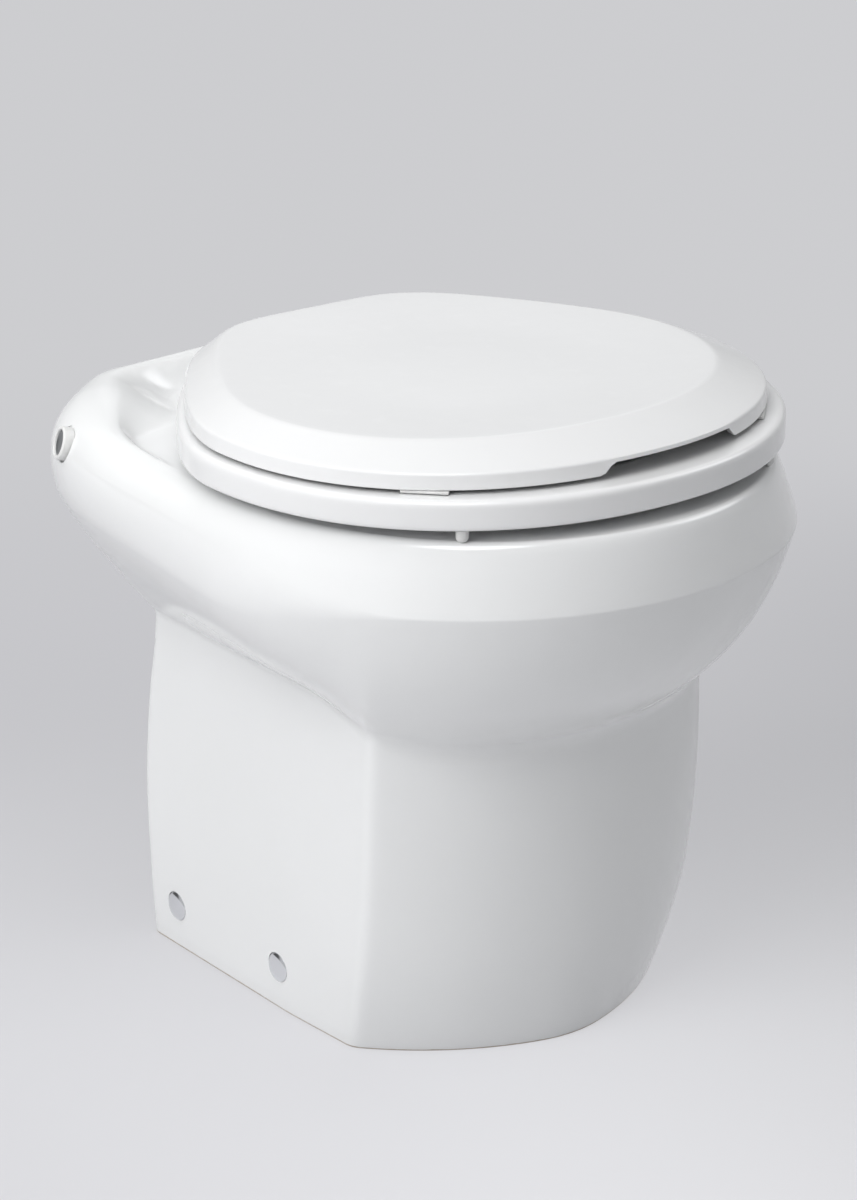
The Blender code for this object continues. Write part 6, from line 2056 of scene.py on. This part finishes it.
@dataclass
class Lid:
    """The lid: a wide chamfer round a faintly dished middle, and a finger notch."""

    half_width: float = 0.1715
    front: float = 0.156
    rear: float = 0.166
    bottom: float = 0.3615
    skirt_top: float = 0.3705
    top: float = 0.3805
    chamfer_front: float = 0.034
    chamfer_side: float = 0.025
    chamfer_rear: float = 0.009
    wall: float = 0.005
    dish: float = 0.0015
    skirt_draft: float = 0.0004
    skirt_lean: float = 0.0011
    roof_round: float = 0.002
    knee_round: float = 0.003
    skirt_foot_round: float = 0.0009
    skirt_round: float = 0.0014
    facet_round: float = 0.0022
    notch_middle: float = 0.023
    notch_half_width: float = 0.045
    notch_slope: float = 0.006
    notch_height: float = 0.0065
    seat_top: float = Seat.top
    bumper_angle: float = 46.0
    bumper_length: float = 0.026
    bumper_width: float = 0.0045
    bumper_soft: float = 0.0004

    SIDES = 288
    DISH_SHARES = ((0.80, 0.50), (0.55, 0.95), (0.25, 1.0), (0.0, 1.0))
    ROOF_REACH = 0.6
    KNEE_DROP = 0.7
    NOTCH_EASE = 1.4

    def __post_init__(self) -> None:
        """Work out the outlines."""
        self.angles = np.linspace(0.0, TURN, self.SIDES, endpoint=False)
        self.outer = squared(self.half_width, self.front, self.rear)
        self.facet = squared(
            self.half_width - self.chamfer_side,
            self.front - self.chamfer_front,
            self.rear - self.chamfer_rear,
        )

    def notched(self, rows: np.ndarray, reach: float) -> np.ndarray:
        """Lift the rows of a skirt's face over the finger notch.

        Args:
            rows: The rows from the skirt's bottom or towards it.
            reach: How far up the lift fades out.

        Returns:
            The lifted rows.
        """
        off = np.abs(rows[..., 0] - self.notch_middle) - self.notch_half_width
        past = (off - self.notch_slope / 2.0) / (self.notch_slope * self.NOTCH_EASE)
        ramp = np.clip(0.5 - past, 0.0, 1.0)
        lift = np.where(rows[..., 1] < MIDDLE_Y, self.notch_height * swell(ramp), 0.0)
        fade = np.clip(1.0 - (rows[..., 2] - self.bottom) / reach, 0.0, 1.0)
        made = rows.copy()
        made[..., 2] += lift * fade
        return made

    def rows(self) -> np.ndarray:
        """The lid's section, with the finger notch in its skirt.

        Returns:
            The rows, from the ceiling's middle round the skirt to the top's middle.
        """

        def level(outline: Outline, height: float) -> np.ndarray:
            """A level ring."""
            return ring(outline, height, self.angles)

        inside = grown(self.outer, -self.wall)
        under = self.top - self.dish - self.wall
        hub = level(shrunk(self.facet, 0.0), under)
        middle = level(shrunk(self.facet, 0.5), under)
        roof = level(grown(self.facet, self.wall * -self.ROOF_REACH), self.top - self.wall)
        knee = level(inside, self.skirt_top - self.wall * self.KNEE_DROP)
        inner = level(inside, self.bottom)
        outer = level(grown(self.outer, -self.skirt_draft), self.bottom)
        shoulder = level(grown(self.outer, -self.skirt_lean), self.skirt_top)
        facet = level(self.facet, self.top)
        dished = [
            level(shrunk(self.facet, share), self.top - self.dish * depth)
            for share, depth in self.DISH_SHARES
        ]
        ceiling = [
            Stretch([hub, middle, roof], 12, self.roof_round, 3),
            Stretch([roof, knee], 4, self.knee_round, 4),
            Stretch([knee, inner], 4),
        ]
        face = [
            Stretch([inner, outer], 2, self.skirt_foot_round, 4),
            Stretch([outer, shoulder], 6, self.skirt_round, 5),
            Stretch([shoulder, facet], 10, self.facet_round, 6),
            Stretch([facet, *dished], 34),
        ]
        reach = self.top - self.wall - self.bottom
        inner_rows = self.notched(section_rows(ceiling, False), reach)
        outer_rows = self.notched(section_rows(face, False), self.skirt_top - self.bottom)
        return np.concatenate((inner_rows, outer_rows[1:]))

    def build(self, hinge: Hinge) -> bpy.types.Object:
        """Make the lid with its hinge lugs.

        Args:
            hinge: The hinge that it hangs on.

        Returns:
            The piece.
        """
        piece = woven("lid_fine", self.rows())
        lug = hinge.spans["lug"]
        height = (hinge.z, self.top - self.dish - self.wall / 2.0)
        hole = (lug[0] - OVERRUN, lug[1] + OVERRUN)
        hinge.hang(piece, (lug,), hinge.lug_depth, height, hinge.lug_radius, hole)
        return dress(piece, "lid", "seat_white", "lid")

    def bumpers(self) -> None:
        """Make the two long pads under the skirt."""
        half = Vector((self.bumper_length / 2.0, self.bumper_width / 2.0, 0.0))
        low, high = UP * (self.seat_top + GAP) - half, UP * (self.bottom - GAP) + half
        for side in Side:
            bm = bmesh.new()
            verts = block(bm, low, high, self.bumper_soft)
            at = on_edge(self.outer, self.bumper_angle, self.wall / 2.0, side)
            turn = Matrix.Rotation(side.value * math.radians(self.bumper_angle), 4, "Z")
            bmesh.ops.transform(bm, matrix=Matrix.Translation(at) @ turn, verts=verts)
            name = f"lid_bumper_{side.word}"
            dress(finished(f"{name}_fine", bm), "lid", "pale_rubber", name)


@dataclass
class FlushButton:
    """The push-button in the end of the ridge: a proud white ring and a spun disc."""

    seat: Vector = Vector((-0.1736, 0.1362, 0.3281))
    axis: Vector = Vector((-0.90950, 0.29551, 0.29237)).normalized()
    ring_radius: float = 0.0099
    ring_round: float = 0.0012
    bore_round: float = 0.0006
    proud: float = 0.0068
    barrel_radius: float = 0.0092
    barrel_length: float = 0.017
    barrel_round: float = 0.0004
    bore: float = 0.0077
    radius: float = 0.0076
    recess: float = 0.001
    height: float = 0.006
    dish: float = 0.0005
    dish_round: float = 0.004
    edge_soft: float = 0.0003
    seam: float = 0.0001
    travel: float = 0.003

    DISH_SHARE = 0.55
    FACE_SHARE = 0.84

    def build(self) -> None:
        """Turn the ring and the disc."""
        bore, soft = self.bore, self.edge_soft
        seam = -self.barrel_length / 2.0
        bezel = (
            (bore, seam, 0.0),
            (bore, self.proud, self.bore_round),
            (self.ring_radius, self.proud, self.ring_round),
            (self.ring_radius, GAP, soft),
            (self.barrel_radius, GAP, soft),
            (self.barrel_radius, -self.barrel_length, self.barrel_round),
            (bore, -self.barrel_length, soft),
            (bore, seam - self.seam, 0.0),
        )
        piece = turned("flush_bezel_fine", softened(bezel), self.seat, self.axis)
        dress(piece, "bowl", "white_plastic", "flush_button_bezel")
        face = self.proud - self.recess
        rim = face - self.dish + self.seam
        back = face - self.height
        stem = self.radius / 2.0
        end = self.travel + GAP - self.barrel_length
        disc = (
            (0.0, face - self.dish, 0.0),
            (self.radius * self.DISH_SHARE, rim, self.dish_round),
            (self.radius * self.FACE_SHARE, face, self.bore_round),
            (self.radius, rim, soft),
            (self.radius, back, soft),
            (stem, back, self.barrel_round),
            (stem, end, self.barrel_round),
            (0.0, end, 0.0),
        )
        piece = turned("flush_button_fine", softened(disc), self.seat, self.axis)
        dress(piece, "flush_button", "spun_steel", "flush_button")


@dataclass
class FixingCaps:
    """The four domed caps low on the pedestal's sides."""

    radius: float = 0.009
    dome: float = 0.003
    rim_height: float = 0.0005
    rim_lean: float = 0.0002
    steps: int = 14
    sides: int = 48

    def build(self) -> None:
        """Turn each cap on its seat."""
        low = GAP + self.rim_height
        rise = self.dome - self.rim_height
        spread = np.linspace(0.0, QUARTER, self.steps)
        arch = [(self.radius * math.sin(a), low + rise * math.cos(a)) for a in spread]
        profile = [*arch, (self.radius - self.rim_lean, GAP), (0.0, GAP)]
        for side in Side:
            for end in ENDS:
                name = f"fixing_cap_{end}_{side.word}"
                at, axis = side.cap_seat(end), side.outward
                piece = turned(f"{name}_fine", profile, at, axis, self.sides)
                dress(piece, "bowl", "chrome", name)


@dataclass
class HiddenParts:
    """The pump, plumbing and fixings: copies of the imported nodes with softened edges."""

    soft: float = 0.0004
    segments: int = 2
    crease: float = 34.0
    flat_angle: float = 1.0
    plunger_travel: float = 0.003

    def build(self) -> None:
        """Copy every node that nothing else stands for."""
        for name, node in FRAME["nodes"].items():
            if node.hide_render:
                continue
            bm = bmesh.new()
            bm.from_mesh(node.data)
            bmesh.ops.remove_doubles(bm, verts=bm.verts, dist=2.0 * MERGE)
            bmesh.ops.dissolve_limit(
                bm,
                angle_limit=math.radians(self.flat_angle),
                verts=bm.verts,
                edges=bm.edges,
                delimit={"NORMAL"},
            )
            piece = placed(f"{name}_fine", bpy.data.meshes.new(f"{name}_fine"))
            bm.to_mesh(piece.data)
            bm.free()
            soften = piece.modifiers.new("edges", "BEVEL")
            soften.width = self.soft
            soften.segments = self.segments
            soften.limit_method = "ANGLE"
            soften.angle_limit = math.radians(self.crease)
            soften.harden_normals = True
            shade(piece, self.crease)
            dress(piece, body_of(node)[0], PACKED_SLOTS[name], name)
            if name == "rinse_spring":
                self.compress(piece)

    def compress(self, spring: bpy.types.Object) -> None:
        """Give the plunger's spring a mesh of its own.

        Args:
            spring: The spring.
        """
        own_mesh(spring)


# The record's finishes, the studio and the run


def make_finishes(button: FlushButton) -> None:
    """Make the materials of the record's slots.

    Args:
        button: The button, whose face has rings round its axis.
    """
    for old in list(bpy.data.materials):
        old.name = f"packed_{old.name}"
    finishes = (
        GlazedChina(),
        MouldedPlastic("seat_white", (0.845, 0.848, 0.850), 0.20, 0.35),
        MouldedPlastic("white_plastic", (0.80, 0.80, 0.79), 0.30, 0.1),
        MouldedPlastic("dark_plastic", (0.028, 0.030, 0.033), 0.42, 0.0),
        Rubber("black_rubber", (0.020, 0.020, 0.021)),
        Rubber("pale_rubber", (0.70, 0.70, 0.69), 0.5),
        PlainMetal("chrome", (0.80, 0.81, 0.83), 0.07),
        PlainMetal("steel", (0.60, 0.61, 0.62), 0.28, (60.0, 900.0, 900.0), 0.00002),
        PlainMetal("brass", (0.72, 0.52, 0.24), 0.25),
        SpunMetal("spun_steel", (0.34, 0.35, 0.36), button.seat, button.axis),
        PaintedMetal("motor_paint", (0.030, 0.045, 0.070)),
    )
    for finish in finishes:
        finish.material().name = finish.slot
    LOG.info("made %d finishes", len(finishes))


def bearing(azimuth: float, elevation: float) -> Vector:
    """The direction at two angles in degrees, seen from the object; 0, 0 is -Y."""
    a, e = math.radians(azimuth), math.radians(elevation)
    return Vector((math.sin(a) * math.cos(e), -math.cos(a) * math.cos(e), math.sin(e)))


@dataclass
class Lamp:
    """One soft lamp: its name, its place, its width and height, and its watts."""

    name: str
    at: Vector
    size: Span
    power: float

    def hang(self, aim: Vector) -> None:
        """Hang the lamp.

        Args:
            aim: The place that it points at.
        """
        light = bpy.data.lights.new(self.name, "AREA")
        light.shape = "RECTANGLE"
        light.size, light.size_y = self.size
        light.energy = self.power
        lamp = placed(self.name, light)
        lamp.location = self.at
        lamp.rotation_euler = (aim - self.at).to_track_quat("-Z", "Y").to_euler()
        lamp.visible_camera = False
        lamp.visible_glossy = False


@dataclass
class Patch:
    """A bright patch of sky: its direction, inner and outer size in degrees, and power."""

    azimuth: float
    elevation: float
    inner: float
    outer: float
    power: float

    def light(self, graph: Graph, way: bpy.types.NodeSocket) -> Value:
        """How bright the patch is in a direction.

        Args:
            graph: The world's nodes.
            way: The direction.

        Returns:
            The brightness.
        """
        aim = tuple(bearing(self.azimuth, self.elevation))
        settings = {"operation": "DOT_PRODUCT"}
        met = graph.node("VectorMath", settings, {0: way, 1: aim}).outputs["Value"]
        edge = (math.cos(math.radians(self.outer)), math.cos(math.radians(self.inner)))
        return Value(graph, met).between(*edge) * self.power


@dataclass
class Studio:
    """A pale floor, soft lights and the camera at the photograph's angle."""

    azimuth: float = -36.95
    elevation: float = 20.2
    distance: float = 2.207
    target: Vector = Vector((-0.030, -0.0175, 0.246))
    focal: float = 115.14
    sensor: float = 36.0
    floor_radius: float = 9.0
    floor_sides: int = 96
    floor_colour: Colour = (0.66, 0.66, 0.675)
    floor_shades: Span = (1.0, 0.97)
    floor_cloud: Noise = Noise(3.0)
    floor_cloud_share: float = 0.2
    floor_roughness: float = 0.9
    floor_fade: Span = (0.24, 0.70)
    least_glow: float = 0.65
    backdrop_near: Colour = (0.715, 0.715, 0.745)
    # Painted light: the floor in front of the object is lighter towards the right
    backdrop_painted_light: Colour = (0.93, 0.93, 0.96)
    backdrop_middle: Colour = (0.565, 0.565, 0.590)
    backdrop_far: Colour = (0.610, 0.612, 0.630)
    # Painted shadow of the object on the floor, to its right and near behind it
    backdrop_painted_shadow: Colour = (0.410, 0.412, 0.425)
    backdrop_cloud: Noise = Noise(2.0)
    backdrop_cloud_share: float = 0.03
    painted_shadow_share: float = 0.55
    far_fade: Span = (0.40, 1.40)
    painted_light_fade: Span = (-0.35, 0.35)
    near_fade: Span = (0.42, -0.12)
    painted_shadow_across_fade: Span = (0.0, 0.50)
    painted_shadow_behind_fade: Span = (1.1, 0.5)
    even_fade: Span = (0.9, 1.9)
    sky_colour: Colour = (0.97, 0.98, 1.0)
    ambient: float = 0.26
    gloss_base: float = 0.55
    aim: Vector = Vector((0.0, 0.0, 0.2))
    lamps: tuple[Lamp, ...] = (
        Lamp("key", Vector((-2.35, -0.40, 1.90)), (2.0, 2.0), 54.0),
        Lamp("top", Vector((-0.4, 0.0, 2.3)), (2.0, 2.0), 23.0),
        Lamp("side", Vector((1.9, -0.5, 0.40)), (1.0, 0.7), 3.8),
    )
    patches: tuple[Patch, ...] = (
        Patch(-42.0, 62.0, 10.0, 20.0, 5.0),
        Patch(78.0, 38.0, 6.0, 20.0, 3.0),
        Patch(146.0, 26.0, 4.0, 14.0, 0.3),
        Patch(-143.0, 14.0, 12.0, 34.0, -0.45),
    )

    def backdrop(self, graph: Graph, behind: Value, across: Value, reach: Value) -> Value:
        """The backdrop's grey, as the photograph shades it.

        Args:
            graph: The floor's nodes.
            behind: How far a point lies behind the object, seen by the camera.
            across: How far it lies to the right.
            reach: How far it lies from the object.

        Returns:
            The colour.
        """
        grey = graph.mix(behind.between(*self.far_fade), self.backdrop_middle, self.backdrop_far)
        # Painted light: the floor in front of the object grows lighter towards the right
        bright = across.between(*self.painted_light_fade)
        near = graph.mix(bright, self.backdrop_near, self.backdrop_painted_light)
        grey = graph.mix(behind.between(*self.near_fade), grey, near)
        # Painted shadow: the floor is darkened to the right of the object and near behind it
        painted_shadow = across.between(*self.painted_shadow_across_fade) * behind.between(*self.painted_shadow_behind_fade)
        grey = graph.mix(painted_shadow * self.painted_shadow_share, grey, self.backdrop_painted_shadow)
        grey = graph.mix(reach.between(*self.even_fade), grey, self.backdrop_far)
        drift = graph.noise(self.backdrop_cloud) * self.backdrop_cloud_share
        return graph.mix(drift, grey, self.backdrop_far)

    def floor(self) -> None:
        """Lay a round floor that takes the shadow near the object and glows far off."""
        bm = bmesh.new()
        bmesh.ops.create_circle(
            bm, cap_ends=True, segments=self.floor_sides, radius=self.floor_radius
        )
        floor = finished("floor", bm)
        graph = Graph("floor")
        x, y, _ = graph.parts(graph.place(self.target))
        turn = math.radians(self.azimuth)
        behind = x * -math.sin(turn) + y * math.cos(turn)
        across = x * math.cos(turn) + y * math.sin(turn)
        reach = (x * x + y * y) ** 0.5
        shine = {
            "Base Color": (0.0, 0.0, 0.0),
            "Specular IOR Level": 0.0,
            "Emission Color": self.backdrop(graph, behind, across, reach),
            "Emission Strength": 1.0,
        }
        glow = graph.node("BsdfPrincipled", None, shine)
        share = graph.noise(self.floor_cloud) * self.floor_cloud_share
        cloud = graph.shades(share, self.floor_colour, self.floor_shades)
        matt = {"Base Color": cloud, "Roughness": self.floor_roughness}
        paint = graph.node("BsdfPrincipled", None, matt)
        fade = reach.between(*self.floor_fade) * (1.0 - self.least_glow) + self.least_glow
        inputs = {0: graph.seen() * fade, 1: paint.outputs[0], 2: glow.outputs[0]}
        both = graph.node("MixShader", None, inputs)
        graph.node("OutputMaterial", None, {"Surface": both.outputs[0]})
        floor.data.materials.append(graph.material)

    def sky(self) -> None:
        """Light the world evenly, with soft patches for gloss and a pale grey for the eye."""
        graph = Graph("world", True)
        glossy, seen = graph.ray("Glossy"), graph.ray("Camera")
        way = graph.node("TexCoord").outputs["Generated"]
        shine = glossy * self.gloss_base + (1.0 - glossy) * self.ambient
        for patch in self.patches:
            shine = shine + patch.light(graph, way) * glossy
        tint = graph.mix(seen, self.sky_colour, self.backdrop_far)
        shine = shine * (1.0 - seen) + seen
        sky = graph.node("Background", None, {"Color": tint, "Strength": shine})
        graph.node("OutputWorld", None, {"Surface": sky.outputs[0]})
        bpy.context.scene.world = graph.material

    def camera(self) -> None:
        """Set the camera."""
        back = bearing(self.azimuth, self.elevation)
        data = bpy.data.cameras.new("camera")
        data.lens = self.focal
        data.sensor_width = self.sensor
        data.sensor_fit = "AUTO"
        camera = placed("camera", data)
        camera.location = self.target + back * self.distance
        camera.rotation_euler = (-back).to_track_quat("-Z", "Y").to_euler()
        bpy.context.scene.camera = camera

    def build(self) -> None:
        """Set up the floor, the lamps, the world and the camera."""
        self.floor()
        for lamp in self.lamps:
            lamp.hang(self.aim)
        self.sky()
        bpy.context.scene.view_settings.view_transform = "Standard"
        self.camera()


def main() -> None:
    """Build every sub-assembly in order."""
    logging.basicConfig(level=logging.INFO, format="%(message)s")
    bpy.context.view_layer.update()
    button, hinge, seat, lid = FlushButton(), Hinge(), Seat(), Lid()
    make_finishes(button)
    Casting().build(button, hinge)
    seat.build(hinge)
    seat.bumpers()
    lid.build(hinge)
    lid.bumpers()
    button.build()
    FixingCaps().build()
    hinge.posts()
    HiddenParts().build()
    Studio().build()


if __name__ == "__main__":
    main()
